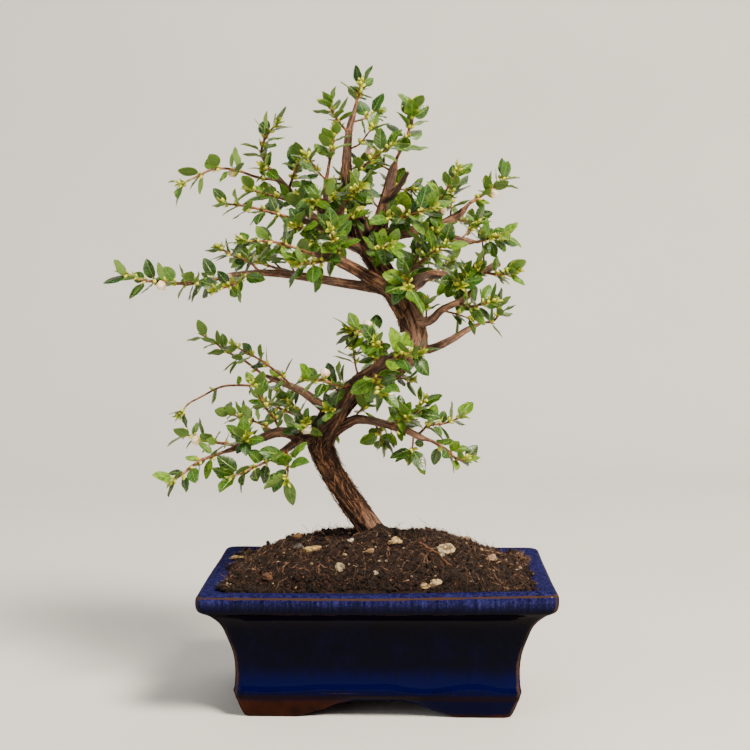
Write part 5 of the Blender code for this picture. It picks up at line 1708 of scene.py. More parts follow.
@dataclass
class Soil:
    """The mound of soil, its crumbs, the root fibres in it and the chips that lie on it.

    A hollow is a place, a width and a depth.
    """

    bit_colours: Colours = (
        (204, 176, 132), (226, 210, 184), (150, 112, 84), (176, 146, 116), (112, 100, 92), (190, 150, 104))
    fibre_colours: Colours = ((30, 17, 10), (184, 138, 104))
    root_colour: Colour = (128, 84, 54)
    edge: float = 73.2
    rise: float = 20.0
    cone: float = 11.0
    cone_width: float = 12.0
    trunk_at: Pair = (-3.0, 1.0)
    hollows: tuple[tuple[float, float, float, float], ...] = (
        (19.0, 2.0, 11.0, 3.0), (78.0, 42.0, 22.0, 6.0), (-76.0, -44.0, 20.0, 2.5), (8.0, -46.0, 20.0, 2.0),
        (-74.0, 36.0, 20.0, 4.0), (58.0, 12.0, 18.0, 2.0))
    lump: float = 1.6
    half: float = 86.28
    less_in_y: float = 25.0
    wall_gap: float = 0.4
    top_shares: tuple[float, float, int] = (1.0, 0.02, 74)
    spill_height: float = 74.7
    spill_slope: float = 0.28
    spill_mean: float = 2.6
    spill_swing: float = 3.4
    spill_length: float = 17.0
    most_spill: float = 6.0
    end_lift: float = 1.5
    clod_length: float = 9.0
    clod_height: float = 2.7
    clear_of: Pair = (0.0, 1.0)
    clear_radius: float = 8.6
    crumb_count: int = 9200
    crumb_inset: float = 1.6
    crumb_shapes: Pair = (0.5, 1.35)
    crumb_lifts: Pair = (-0.1, 0.75)
    front_share: float = 0.3
    front_inset: float = 1.2
    front_band: float = 7.0
    fibre_count: int = 6600
    fibre_rows: int = 5
    fibre_inset: float = 2.5
    fibre_radii: Pair = (0.05, 0.16)
    fibre_lifts: Pair = (-0.2, 1.1)
    fibre_arch: float = 2.2
    tuft_at: Pair = (83.0, 31.0)
    tuft_spread: float = 6.0
    tuft_count: int = 420
    root: Profile = ((24, -24), (28, -28), (32, -33), (36, -39), (42, -43))
    root_step: float = 1.6
    root_lift: float = 1.1
    root_radii: Pair = (0.62, 0.25)
    chip_sunk: float = 0.22
    chip_grid: tuple[int, int] = (12, 8)
    grit: tuple[int, Pair, Pair] = (170, (0.5, 1.3), (1.0, 0.6))
    splinters: tuple[int, Pair, Pair] = (70, (1.4, 3.6), (0.16, 0.12))
    chance: Chance = field(default_factory=lambda: np.random.default_rng(SEED + 900))

    @property
    def half_y(self) -> float:
        """Returns half the mound's depth."""
        return self.half - self.less_in_y

    def broad_height(self, x: Array, y: Array) -> Array:
        """Works out the mound: a broad swell that is full almost to the wall, and a cone at the trunk.

        The swell is rise * (1 - e^3.2)^0.8, where e is 1 at the wall. Round hollows and sine lumps
        make it uneven.

        Args:
            x: Places along the pot.
            y: Places from its front to its back.

        Returns:
            The heights.
        """
        edge = (np.abs(x / self.half) ** 3 + np.abs(y / self.half_y) ** 3) ** (1 / 3)
        swell = self.rise * np.clip(1 - edge**3.2, 0, 1) ** 0.8
        away = np.hypot(x - self.trunk_at[0], y - self.trunk_at[1])
        cone = self.cone * np.exp(-((away / self.cone_width) ** 1.4))
        waves = np.sin(x / 9 + 1) * np.cos(y / 7.5) + 0.6 * np.sin(x / 5 - y / 6)
        total = self.edge + swell + cone + self.lump * waves * np.clip(2.2 * (1 - edge), 0, 1)
        for place_x, place_y, width, depth in self.hollows:
            gap = np.hypot(x - place_x, y - place_y) / width
            total = total - depth * np.exp(-(gap**2)) * eased(1 - edge, 0.0, 0.15)
        return total

    def surface(self, x: Array, y: Array) -> Array:
        """Returns the mound with its clods, which are layered noise and level out at the wall."""
        inner = eased(1 - np.maximum(np.abs(x) / self.half, np.abs(y) / self.half_y), 0.0, 0.08)
        clods = self.clod_height * NOISE.layered(stacked(x, y, 0.0) + 40, self.clod_length, 5)
        at_ends = self.end_lift * eased(np.abs(x) / self.half, 0.9, 0.99)
        return self.broad_height(x, y) + clods * inner - 0.4 * (1 - inner) + at_ends

    def ground(self, x: Array, y: Array) -> Array:
        """Returns the height of what crumbs and fibres lie on: the mound, or the lip beyond it."""
        beyond = np.abs(x) - self.half
        heap = self.spill_height + self.spill_slope * np.clip(self.spill_reach(x, y) - beyond, 0, 4)
        surface = self.surface(x, y)
        return np.where(beyond < 0, surface, np.where(beyond < 1.5, np.maximum(surface, heap), heap))

    def spill_reach(self, x: Array, y: Array) -> Array:
        """Returns how far soil has spilled over the lip at the pot's two ends, which varies along them."""
        waves = NOISE.layered(stacked(np.sign(x) * 50, y, 0.0), self.spill_length, 2)
        return np.clip(self.spill_mean + self.spill_swing * waves, 0.0, self.most_spill)

    def mound(self, pot: Pot) -> MeshParts:
        """Builds the mound as rings that shrink from the floor's edge up the wall and in to the top.

        Args:
            pot: The pot that it fills.

        Returns:
            The mound.
        """
        below = np.array([(half - self.wall_gap, height) for half, height in reversed(pot.inside[2:])])
        below[0, 1] = pot.floor_top + SEAT_GAP
        under = pot.level_rings(*below[0], np.array((0.1, 0.5, 0.9)))
        sides = pot.rings(below[:, 0], below[:, 0] - pot.less_in_y, pot.corner, below[:, 1])
        top = pot.level_rings(self.half, 0.0, np.linspace(*self.top_shares))
        top[..., 2] = self.surface(top[..., 0], top[..., 1])
        rows = np.concatenate((under, sides, top))
        peak = self.surface(np.zeros(1), np.zeros(1))[0]
        points = np.vstack((rows.reshape(-1, 3), (0, 0, below[0, 1]), (0, 0, peak)))
        parts = MeshParts()
        parts.add(points, pole_faces(*rows.shape[:2]), kind=(0.25 + 0.25 * NOISE.at(points, 3.0))[:, None])
        return parts

    def scattered(self, count: int, inset: float) -> tuple[Array, Array]:
        """Draws random places on the soil, leaving out where the trunk stands.

        Args:
            count: How many are tried.
            inset: How far they stay from the front and the back.

        Returns:
            Their x and y.
        """
        x = self.chance.uniform(-1, 1, count) * (self.half + self.most_spill)
        y = self.chance.uniform(-1, 1, count) * (self.half_y - inset)
        beyond = (np.abs(x) - self.half) / np.maximum(self.spill_reach(x, y), 0.1)
        is_clear = np.hypot(x - self.clear_of[0], y - self.clear_of[1]) > self.clear_radius
        kept = is_clear & (beyond < 1 - 0.6 * self.chance.random(count) ** 2)
        return x[kept], y[kept]

    def crumbs(self) -> MeshParts:
        """Returns the crumbs: rough lumps half sunk in the mound, with more of them at the front.

        A crumb's radius is 0.36 + r^3.2 + 0.9 * s^16, with r and s random, so that few are large.
        """
        chance = self.chance
        x, y = self.scattered(self.crumb_count, self.crumb_inset)
        count = len(x)
        front = chance.random(count) < self.front_share
        y = np.where(front, self.front_inset - self.half_y + self.front_band * chance.random(count) ** 2, y)
        size = 0.36 + 1.0 * chance.random(count) ** 3.2 + 0.9 * chance.random(count) ** 16
        sizes = size[:, None] * chance.uniform(*self.crumb_shapes, (count, 3))
        centres = stacked(x, y, self.ground(x, y) + size * chance.uniform(*self.crumb_lifts, count))
        first = units(chance.normal(size=(count, 3)))
        second = units(np.cross(first, chance.normal(size=(count, 3))))
        points = lumps(chance, centres, sizes, squares(first, second), 0.42)
        tone = chance.random(count) ** 1.5 * np.clip(0.7 / size, 0.3, 1)
        parts = MeshParts()
        parts.add(points, pole_faces(2, 5, count), kind=tone[:, None, None])
        return parts

    def fibres(self) -> MeshParts:
        """Returns root fibres: thin tubes whose heading swings as they run over the mound.

        Their length is 1.6 + 7 * r^2.4 and their lift grows with the square of the distance from
        the middle, with r random.
        """
        chance = self.chance
        x, y = self.scattered(self.fibre_count, self.fibre_inset)
        tuft_x, tuft_y = (chance.normal(middle, self.tuft_spread, self.tuft_count) for middle in self.tuft_at)
        inside = (np.abs(tuft_x) < self.half + 5) & (np.abs(tuft_y) < self.half_y - 2)
        x, y = np.append(x, tuft_x[inside])[:, None], np.append(y, tuft_y[inside])[:, None]
        count = len(x)
        length = 1.6 + 7.0 * chance.random((count, 1)) ** 2.4
        along = np.linspace(-0.5, 0.5, self.fibre_rows)
        bend = chance.uniform(0, CIRCLE, (count, 1)) + chance.normal(0, 0.5, (count, 1)) * along * 2
        px = np.clip(x + length * along * np.cos(bend), x - 4, x + 4)
        py = np.clip(y + length * along * np.sin(bend), 2 - self.half_y, self.half_y - 2)
        upright = chance.random((count, 1)) ** 6 * length
        lift = chance.uniform(*self.fibre_lifts, (count, 1)) + upright * (along + 0.5) * 0.8
        lift += chance.uniform(0, self.fibre_arch, (count, 1)) * along**2 * 2
        radii = chance.uniform(*self.fibre_radii, (count, 1)) * (1.15 - 1.5 * np.abs(along)) ** 0.5
        warm = chance.random((count, 1))
        warm[-int(inside.sum()):] **= 0.3
        low, high = (light_of(colour) for colour in self.fibre_colours)
        tint = low + (high - low) * warm**3.4
        parts = MeshParts()
        routes = stacked(px, py, self.ground(px, py) + lift)
        add_tubes(parts, routes, radii, 3, tint=tint[:, None, None])
        self.main_root(parts)
        return parts

    def main_root(self, parts: MeshParts) -> None:
        """Adds the long root fibre that runs down the mound's right front.

        Args:
            parts: Where it is added.
        """
        points = [(*place, 0) for place in self.root]
        route, _ = smooth_route(points, np.zeros(len(points)), self.root_step)
        route[:, 2] = self.surface(route[:, 0], route[:, 1]) + self.root_lift
        radii = np.linspace(*self.root_radii, len(route))
        add_tubes(parts, route[None], radii[None], 6, tint=light_of(self.root_colour))

    def chips(self) -> MeshParts:
        """Returns the chips as worn lumps, turned as they lie, with grit and splinters between them."""
        parts = MeshParts()
        columns, rows = self.chip_grid
        for chip in CHIPS:
            turn = math.radians(chip.turn)
            tilt = self.chance.uniform(-0.2, 0.2, 2)
            ahead = unit(np.array((math.cos(turn), math.sin(turn), tilt[0])))
            side = across(np.array((-math.sin(turn), math.cos(turn), tilt[1])), ahead)
            sizes = np.array((chip.long, chip.wide, chip.thick)) / 2 * 1.04
            height = self.ground(np.array([chip.x]), np.array([chip.y]))[0] + chip.thick * self.chip_sunk
            centre = np.array((chip.x, chip.y, height))
            points = lumps(self.chance, centre[None], sizes[None], squares(ahead, side)[None], 0.3,
                           columns, rows, worn=True)
            parts.add(points, pole_faces(rows, columns), tint=light_of(chip.colour))
        for count, reach, shape in (self.grit, self.splinters):
            self.bits(parts, count, reach, shape)
        return parts

    def bits(self, parts: MeshParts, count: int, reach: Pair, shape: Pair) -> None:
        """Adds grains or splinters that lie flat on the soil.

        Args:
            parts: Where they are added.
            count: How many are tried.
            reach: The least and the most half length, short ones being commoner.
            shape: Their width and thickness as shares of the length.
        """
        chance = self.chance
        x, y = self.scattered(count, 3.0)
        long = reach[0] + (reach[1] - reach[0]) * chance.random(len(x)) ** 2.5
        sizes = long[:, None] * np.array((1.0, *shape))
        turn = chance.uniform(0, CIRCLE, len(x))
        ahead = units(stacked(np.cos(turn), np.sin(turn), chance.normal(0, 0.15, len(x))))
        side = units(np.cross(UP, ahead))
        centres = stacked(x, y, self.ground(x, y) + sizes[:, 2] * 0.5 + 0.5)
        points = lumps(chance, centres, sizes, squares(ahead, side), 0.3)
        tints = np.array([light_of(colour) for colour in self.bit_colours])
        tint = tints[chance.integers(0, len(tints), len(x))]
        parts.add(points, pole_faces(2, 5, len(x)), tint=tint[:, None])

    def make(self, pot: Pot) -> None:
        """Makes the mound with its crumbs, the fibres and the chips.

        Args:
            pot: The pot that they fill.
        """
        peat = PeatFinish().make()
        make_piece(self.mound(pot).mesh("soil_mound"), (peat,), ("soil",))
        make_piece(self.crumbs().mesh("soil_crumbs"), (peat,), sharp=30.0)
        make_piece(self.fibres().mesh("root_fibres"), (GritFinish("root_fibre").make(),))
        make_piece(self.chips().mesh("bark_chips"), (GritFinish("chip").make(),), sharp=24.0)


@dataclass(frozen=True)
class BarkFinish:
    """Fibrous bark: near black and tan on the old trunk, smooth red-brown on young limbs.

    It reads the grain's own coordinates from place, and age, cut wood and relief from kind.
    The bark has come off at the right of the trunk's foot, and round one place higher up.
    """

    old: Colours = ((9, 5, 4), (34, 19, 12), (78, 49, 31), (146, 102, 68))
    young: Colours = ((40, 24, 17), (102, 64, 44), (166, 122, 90))
    grey: Colour = (122, 104, 92)
    peeled: Colour = (158, 120, 96)
    cut_wood: Colours = ((188, 142, 102), (150, 92, 60))
    grain_scale: float = 1.5
    patch_scale: float = 0.07
    ring_scale: float = 0.9
    foot_slant: float = 0.5
    foot_at: Pair = (26.0, 92.0)
    foot_zone: Pair = (24.0, 30.0)
    foot_end: Pair = (116.0, 98.0)
    worn_at: Place = (52.0, 0.0, 214.0)
    worn_stretch: Place = (1.0, 1.0, 0.5)
    worn_reach: float = 12.0

    def make(self) -> Look:
        """Returns the material."""
        look, book = new_look("bark")
        here = book.here()
        age, cut_wood, relief = book.parts(book.attribute("kind"))
        strands, clumps = book.group(FIBRE, book.attribute("place"), self.grain_scale)
        tone = strands * 0.6 + relief * 0.4 + (clumps - 0.5) * 0.35
        old = book.ramp(tone, (0.2, 0.46, 0.66, 0.9), self.old)
        young = book.ramp(tone, (0.2, 0.5, 0.85), self.young)
        (patches,) = book.group(MOTTLE, here, self.patch_scale)
        colour = book.blend(age, book.blend(patches * 0.35, young, self.grey), old)
        peeled = self.bare(book, here) * book.fade(tone, 0.3, 0.55, 0.15, 0.85)
        colour = book.blend(peeled, colour, self.peeled)
        rings = book.blend(book.noise(here, self.ring_scale, 2.0), *self.cut_wood)
        book.shade(Base_Color=book.blend(cut_wood, colour, rings), Specular_IOR_Level=0.35,
                   Roughness=book.fade(age, 0.0, 1.0, 0.62, 0.92), Normal=book.bump(strands, 0.42, 0.8))
        return look

    def bare(self, book: NodeBook, here: Value) -> Value:
        """Finds where the bark has come off.

        Args:
            book: The material's nodes.
            here: The place on the tree.

        Returns:
            How bare it is, from 0 to 1.
        """
        side, _, height = book.parts(here)
        leaning = side + (height - self.foot_at[1]) * self.foot_slant
        foot = book.fade(leaning, *self.foot_zone) * book.fade(height, *self.foot_end)
        worn_at = tuple(np.multiply(self.worn_at, self.worn_stretch))
        gap = book.out("VectorMath", {0: book.stretch(here, self.worn_stretch), 1: worn_at}, "Value",
                       operation="DISTANCE")
        return book.most(foot, book.fade(gap, self.worn_reach, self.worn_reach * 0.5))


@dataclass
class FineLimb:
    """One limb as a fine tube, whose radius eases to taper_to at its end where a twig goes on.

    The foot and the end say how much of the radius is left there, and how far beyond it goes.
    """

    limb: Limb
    taper_to: float = 0.0
    taper_length: float = 7.0
    step: float = 1.25
    sides: int = 22
    plain_fade: float = 16.0
    foot: Pair = (0.6, 0.35)
    end: Pair = (0.93, 0.15)

    def __post_init__(self) -> None:
        """Works out the middle line, with the radii, distances, directions and sides along it."""
        self.route, self.radii = smooth_route(self.limb.points, self.limb.radii, self.step)
        self.along = lengths_along(self.route)
        self.ahead, self.side = frames_along(self.route)
        if self.taper_to:
            share = eased(self.along, self.along[-1] - self.taper_length, self.along[-1])
            self.radii = self.radii + (self.taper_to - self.radii) * share

    def rings(self) -> Array:
        """Returns the tube's rings, with its ridges of bark and its ends drawn in."""
        route, ahead = self.route, self.ahead
        relief = np.full(len(route), self.limb.ridge)
        coarse = HABIT.limb_step
        if self.limb is TRUNK:
            relief = relief * eased(route[:, 2], HABIT.plain_below - self.plain_fade, HABIT.plain_below)
            coarse = HABIT.trunk_step
        rows = ridged_rings(route, self.radii, relief, self.along / coarse, self.sides)
        first = route[0] + (rows[0] - route[0]) * self.foot[0] - ahead[0] * self.radii[0] * self.foot[1]
        last = route[-1] + (rows[-1] - route[-1]) * self.end[0] + ahead[-1] * self.end[1]
        return np.concatenate(([first], rows, [last]))


@dataclass
class Wood:
    """Trunk, limbs and collars melted into one skin, with bark worked out in each limb's own grain."""

    voxel: float = 0.7
    reach: float = 3.0
    stretch: float = 0.13
    limb_shift: float = 9.7
    trunk_relief: float = 0.5
    limb_relief: float = 0.24
    ages: Pair = (1.7, 4.6)
    dead_age: float = 0.85
    strand_length: float = 1.9
    scar_spacing: float = 9.0
    scar_height: float = 0.2
    scar_wave: float = 1.2
    scar_edge: float = 0.86
    lump_length: float = 3.4
    plain_foot: Pair = (84.0, 100.0)
    bare_ends: tuple[str, ...] = (
        "dead_stub_right", "dead_stub_left", "low_left_stubs", "right_middle", "shiny_left")
    end_reach: float = 1.5
    end_taper: float = 1.12
    collar_sides: int = 14
    collar_rings: int = 6
    collar_flare: Pair = (1.16, 0.55)
    flake_count: int = 900
    flake_rows: int = 6
    flake_room: Pair = (34.0, 30.0)
    flake_lengths: Pair = (3.0, 11.0)
    flake_sway: float = 0.28
    flake_stand: Pair = (0.0, 0.25)
    flake_curl: Pair = (0.1, 1.5)
    flake_tilt: float = 0.3
    flake_widths: Pair = (0.16, 0.5)
    flake_thickness: float = 0.11

    def limbs(self, twigs: Sequence[Twig]) -> list[FineLimb]:
        """Tapers every limb to the twig that goes on from its end.

        Args:
            twigs: The twigs.

        Returns:
            The limbs.
        """
        limbs = []
        for limb in (TRUNK, *LIMBS):
            going_on = [twig for twig in twigs if twig.collar is None
                        and np.linalg.norm(twig.route[0] - limb.points[-1]) < self.end_reach]
            limbs.append(FineLimb(limb, going_on[0].sprig.radius * self.end_taper if going_on else 0.0))
        return limbs

    def collar(self, twig: Twig) -> Array:
        """Returns the rings of the short cone under a twig, which flares into the limb that carries it."""
        foot, top = twig.collar
        shares = np.linspace(0.0, 1.0, self.collar_rings)
        radii = twig.sprig.radius * (self.collar_flare[0] + self.collar_flare[1] * (1 - shares) ** 2)
        return tubes((foot + (top - foot) * shares[:, None])[None], radii[None], self.collar_sides)[0]

    def melted(self, limbs: Sequence[FineLimb], twigs: Sequence[Twig]) -> tuple[Array, Array]:
        """Joins all tubes into one skin of small squares.

        Args:
            limbs: The limbs.
            twigs: The twigs, of which the collars are used.

        Returns:
            Its points in millimetres, and its faces.
        """
        points, faces, count = [], [], 0
        for rows in [limb.rings() for limb in limbs] + [self.collar(twig) for twig in twigs if twig.collar]:
            points.append(rows.reshape(-1, 3))
            faces += [face for group in closed_faces(*rows.shape[:2]) for face in (group + count).tolist()]
            count += len(points[-1])
        mesh = bpy.data.meshes.new("melting")
        mesh.from_pydata(np.vstack(points).tolist(), [], faces)
        rough = placed("melting", mesh)
        remesh = rough.modifiers.new("Melt", "REMESH")
        remesh.mode = "VOXEL"
        remesh.voxel_size = self.voxel
        result = applied(rough)
        bpy.data.objects.remove(rough, do_unlink=True)
        found = np.empty(len(result.vertices) * 3, np.float32)
        result.vertices.foreach_get("co", found)
        corners = np.empty(len(result.loops), np.int32)
        result.loops.foreach_get("vertex_index", corners)
        return found.reshape(-1, 3).astype(float), corners.reshape(-1, 4)

    @staticmethod
    def gathered(numbers: Array, vectors: Array, count: int) -> Array:
        """Returns, for each of count points, the sum of the vectors that have its number."""
        return np.stack([np.bincount(numbers, vectors[:, axis], count) for axis in range(3)], axis=-1)

    def smoothed(self, points: Array, faces: Array) -> Array:
        """Returns points each moved halfway to the mean of its neighbours."""
        ends, others = faces.ravel(), np.roll(faces, -1, axis=1).ravel()
        counts = np.bincount(ends, minlength=len(points))[:, None]
        return (points + self.gathered(ends, points[others], len(points)) / np.maximum(counts, 1)) / 2

    def normals(self, points: Array, faces: Array) -> Array:
        """Returns the mean normal of the faces round each point."""
        corners = points[faces]
        flat = np.cross(corners[:, 2] - corners[:, 0], corners[:, 3] - corners[:, 1])
        sums = self.gathered(faces.ravel(), np.repeat(flat, 4, axis=0), len(points))
        return sums / np.maximum(np.linalg.norm(sums, axis=1, keepdims=True), 1e-9)

    def grain(self, points: Array, limbs: Sequence[FineLimb]) -> dict[str, Array]:
        """Finds the limb that each point belongs to and where it lies on it.

        Args:
            points: The points.
            limbs: The limbs.

        Returns:
            The turn round the limb, the distance along it, its radius there, its number and how
            near its far end the point is.
        """
        best = np.full(len(points), np.inf)
        found = {key: np.zeros(len(points)) for key in ("turn", "along", "radius", "limb", "left")}
        for number, fine in enumerate(limbs):
            route, radii, along = fine.route, fine.radii, fine.along
            reach = radii.max() + self.reach
            near = ((points > route.min(axis=0) - reach) & (points < route.max(axis=0) + reach)).all(axis=1)
            chosen = np.nonzero(near)[0]
            gaps = np.linalg.norm(points[chosen, None] - route[None], axis=2)
            nearest = np.argmin(gaps, axis=1)
            score = gaps[np.arange(len(chosen)), nearest] / (radii[nearest] + 0.2)
            better = score < best[chosen]
            chosen, nearest = chosen[better], nearest[better]
            best[chosen] = score[better]
            off, ahead, side = points[chosen] - route[nearest], fine.ahead[nearest], fine.side[nearest]
            ways = (ahead, side, np.cross(ahead, side))
            lift, beside, above = (np.einsum("ni,ni->n", off, way) for way in ways)
            found["turn"][chosen] = np.arctan2(above, beside)
            found["along"][chosen] = along[nearest] + lift
            found["radius"][chosen] = radii[nearest]
            found["limb"][chosen] = number
            found["left"][chosen] = along[-1] - along[nearest] - lift
        return found

    def place(self, found: dict[str, Array]) -> Array:
        """Returns grain coordinates: round the limb at its true size, and along it much shortened."""
        return stacked(found["radius"] * np.cos(found["turn"]), found["radius"] * np.sin(found["turn"]),
                       found["along"] * self.stretch + found["limb"] * self.limb_shift)

    def relief(self, found: dict[str, Array], place: Array, age: Array) -> Array:
        """Works out the bark's height: strands on old wood, ring scars and lumps on young.

        A strand's height is 1 - 2.4 * |noise|, and a scar is the top of a cosine along the limb.

        Args:
            found: Where each point lies on its limb.
            place: Its grain coordinates.
            age: How old the bark is, from 0 to 1.

        Returns:
            The height, from -1 to 1.
        """
        strands = 1 - 2.4 * np.abs(NOISE.layered(place + 3.3, self.strand_length, 3))
        wave = NOISE.at(place, 4.0) * self.scar_wave
        scars = np.cos(2 * math.pi * found["along"] / self.scar_spacing + wave)
        scars = np.clip(scars - self.scar_edge, 0, 1) / (1 - self.scar_edge)
        bumps = NOISE.at(place * (1, 1, 2.2) + 11, self.lump_length)
        young = (1 - age) * (scars + 0.5 * bumps) * self.scar_height / self.limb_relief
        return strands * (0.25 + 0.75 * age) + young

    def make(self, twigs: Sequence[Twig]) -> None:
        """Makes the wood's skin and the loose strands of bark on the trunk.

        Args:
            twigs: The twigs that stand on it.
        """
        limbs = self.limbs(twigs)
        points, faces = self.melted(limbs, twigs)
        points = self.smoothed(points, faces)
        found = self.grain(points, limbs)
        place = self.place(found)
        names = [fine.limb.name for fine in limbs]
        dead = np.isin(found["limb"], [order for order, name in enumerate(names) if name.startswith("dead")])
        bare = np.isin(found["limb"], [names.index(name) for name in self.bare_ends])
        age = np.maximum(eased(found["radius"], *self.ages), self.dead_age * dead)
        cut_wood = bare * eased(found["left"], 0.9, 0.1)
        height = self.relief(found, place, age)
        depth = self.limb_relief + (self.trunk_relief - self.limb_relief) * age
        depth = depth * eased(points[:, 2], *self.plain_foot) ** 0.5 * np.clip(found["radius"] / 2.4, 0.3, 1)
        points = points + self.normals(points, faces) * (height * depth * (1 - cut_wood))[:, None]
        skin = MeshParts()
        skin.add(points, [faces], place=place, kind=stacked(age, cut_wood, np.clip(0.5 + 0.5 * height, 0, 1)))
        look = BarkFinish().make()
        make_piece(skin.mesh("bark_and_limbs"), (look,), ("wood",), sharp=75.0)
        make_piece(self.flakes(limbs[0]).mesh("bark_strands"), (look,))

    def flakes(self, trunk: FineLimb) -> MeshParts:
        """Makes loose strands of bark: flat tubes along the grain whose ends stand off the wood.

        A strand's distance from the wood grows with the square of the distance from its middle.

        Args:
            trunk: The trunk as a fine limb.

        Returns:
            The strands.
        """
        chance = np.random.default_rng(SEED + 700)
        one = (self.flake_count, 1)
        start, stop = self.flake_room[0], trunk.along[-1] - self.flake_room[1]
        middle = start + (stop - start) * chance.random(one) ** 1.25
        turn = chance.uniform(0, CIRCLE, one)
        shares = np.linspace(-0.5, 0.5, self.flake_rows)
        mark = middle + chance.uniform(*self.flake_lengths, one) * shares
        angle = (turn + chance.normal(0, self.flake_sway, one) * shares * 2)[..., None]
        centre, forward, edge = (
            sampled(mark, trunk.along, values) for values in (trunk.route, trunk.ahead, trunk.side))
        forward, edge = units(forward), units(edge)
        outward = np.cos(angle) * edge + np.sin(angle) * np.cross(forward, edge)
        lift = chance.uniform(*self.flake_stand, one) + chance.uniform(*self.flake_curl, one) * shares**2 * 4
        lift += self.flake_tilt * chance.normal(0, 1, one) * shares
        radius = np.interp(mark, trunk.along, trunk.radii)
        path = centre + outward * (radius * 1.03 + lift)[..., None]
        width = chance.uniform(*self.flake_widths, one) * (1.05 - 2 * np.abs(shares)) ** 0.5
        beside, above = np.cross(outward, forward) * width[..., None], outward * self.flake_thickness
        points = path[..., None, :] + np.stack((-above, -beside, above, beside), axis=-2)
        place = stacked(*(chance.random((*one, 1)) * 30 for _ in range(3)))
        kind = stacked(1.0, 0.0, chance.uniform(0.3, 1.1, (*one, 1)))
        faces = closed_faces(self.flake_rows, 4, self.flake_count)
        parts = MeshParts()
        parts.add(points, faces, place=place + points * 0.02, kind=kind)
        return parts


@dataclass(frozen=True)
class LeafFinish:
    """A small leathery leaf: dark and glossy above with sunk veins, pale below, yellow-green when young.

    It reads where a point lies on the leaf from place, and the leaf's tone, age and hue from kind.
    """

    tones: Colours = ((16, 38, 6), (38, 72, 8), (70, 108, 11), (122, 156, 20))
    vein: Colour = (136, 168, 52)
    under: Colour = (98, 128, 50)
    young: Colours = ((140, 170, 30), (206, 208, 60))
    stalk: Colour = (146, 146, 44)
    blemish: Colour = (92, 78, 38)
    cool: Colour = (30, 80, 50)
    side_veins: float = 7.0
    vein_slant: float = 1.6
    spot_scale: float = 0.75
    patch_scale: float = 0.35
    light_through: Place = (0.9, 1.2, 0.2)

    def make(self) -> Look:
        """Returns the material."""
        look, book = new_look("leaf")
        here = book.here()
        beside, along, side = book.parts(book.attribute("place"))
        tone, age, hue = book.parts(book.attribute("kind"))
        width = book.math("ABSOLUTE", beside)
        midrib = book.fade(width, 0.13, 0.02)
        wave = book.math("SINE", (along * self.side_veins - width * self.vein_slant) * CIRCLE)
        veins = book.fade(wave, 0.55, 1.0) * book.fade(width, 1.0, 0.55)
        spots = book.noise(here, self.spot_scale)
        (patches,) = book.group(MOTTLE, here, self.patch_scale)
        colour = book.ramp(tone * 0.72 + patches * 0.2, (0.1, 0.36, 0.66, 0.92), self.tones)
        colour = book.blend(book.most(midrib * 0.55, veins * 0.22), colour, self.vein)
        colour = book.blend(book.fade(hue, 0.4, 0.0) * 0.25, colour, self.cool)
        brown = book.fade(spots, 0.64, 0.74) * book.fade(hue, 0.7, 1.0)
        colour = book.blend(brown * 0.6, colour, self.blemish)
        fresh = book.blend(book.fade(along, 0.1, 0.9), *self.young)
        colour = book.blend(book.fade(age, 0.75, 0.05), colour, fresh)
        colour = book.blend(book.fade(side, 0.5, 0.42, 0.0, 0.75), colour, self.under)
        colour = book.blend(book.fade(along, 0.14, 0.08), colour, self.stalk)
        relief = spots * 0.25 - book.most(midrib, veins)
        book.shade(Base_Color=colour, Roughness=book.fade(side, 0.5, 0.42, 0.24, 0.60) + patches * 0.14,
                   Normal=book.bump(relief, 0.34, 0.8), Specular_IOR_Level=0.5, Subsurface_Weight=0.3,
                   Subsurface_Radius=self.light_through, Subsurface_Scale=MM)
        return look


@dataclass(frozen=True)
class TwigFinish:
    """Thin bark of a leafy twig: red-brown at its foot, green at its tip, with fine pale dots."""

    browns: Colours = ((54, 29, 14), (108, 62, 30), (158, 106, 56))
    green: Colour = (142, 146, 36)
    patch_scale: float = 0.4
    dot_scale: float = 2.6

    def make(self) -> Look:
        """Returns the material, which reads the distance along the twig from place."""
        look, book = new_look("twig_bark")
        here = book.here()
        along = book.parts(book.attribute("place"))[1]
        (patches,) = book.group(MOTTLE, here, self.patch_scale)
        tone = patches * 0.5 + book.noise(here, self.dot_scale, 3.0, 0.65) * 0.5
        colour = book.ramp(tone, (0.25, 0.5, 0.8), self.browns)
        ripe = along + (patches - 0.5) * 0.25
        colour = book.blend(book.fade(ripe, 0.78, 1.02, 0.0, 0.9), colour, self.green)
        book.shade(Base_Color=colour, Roughness=book.fade(tone, 0.2, 0.8, 0.72, 0.5),
                   Normal=book.bump(tone, 0.2, 0.6))
        return look


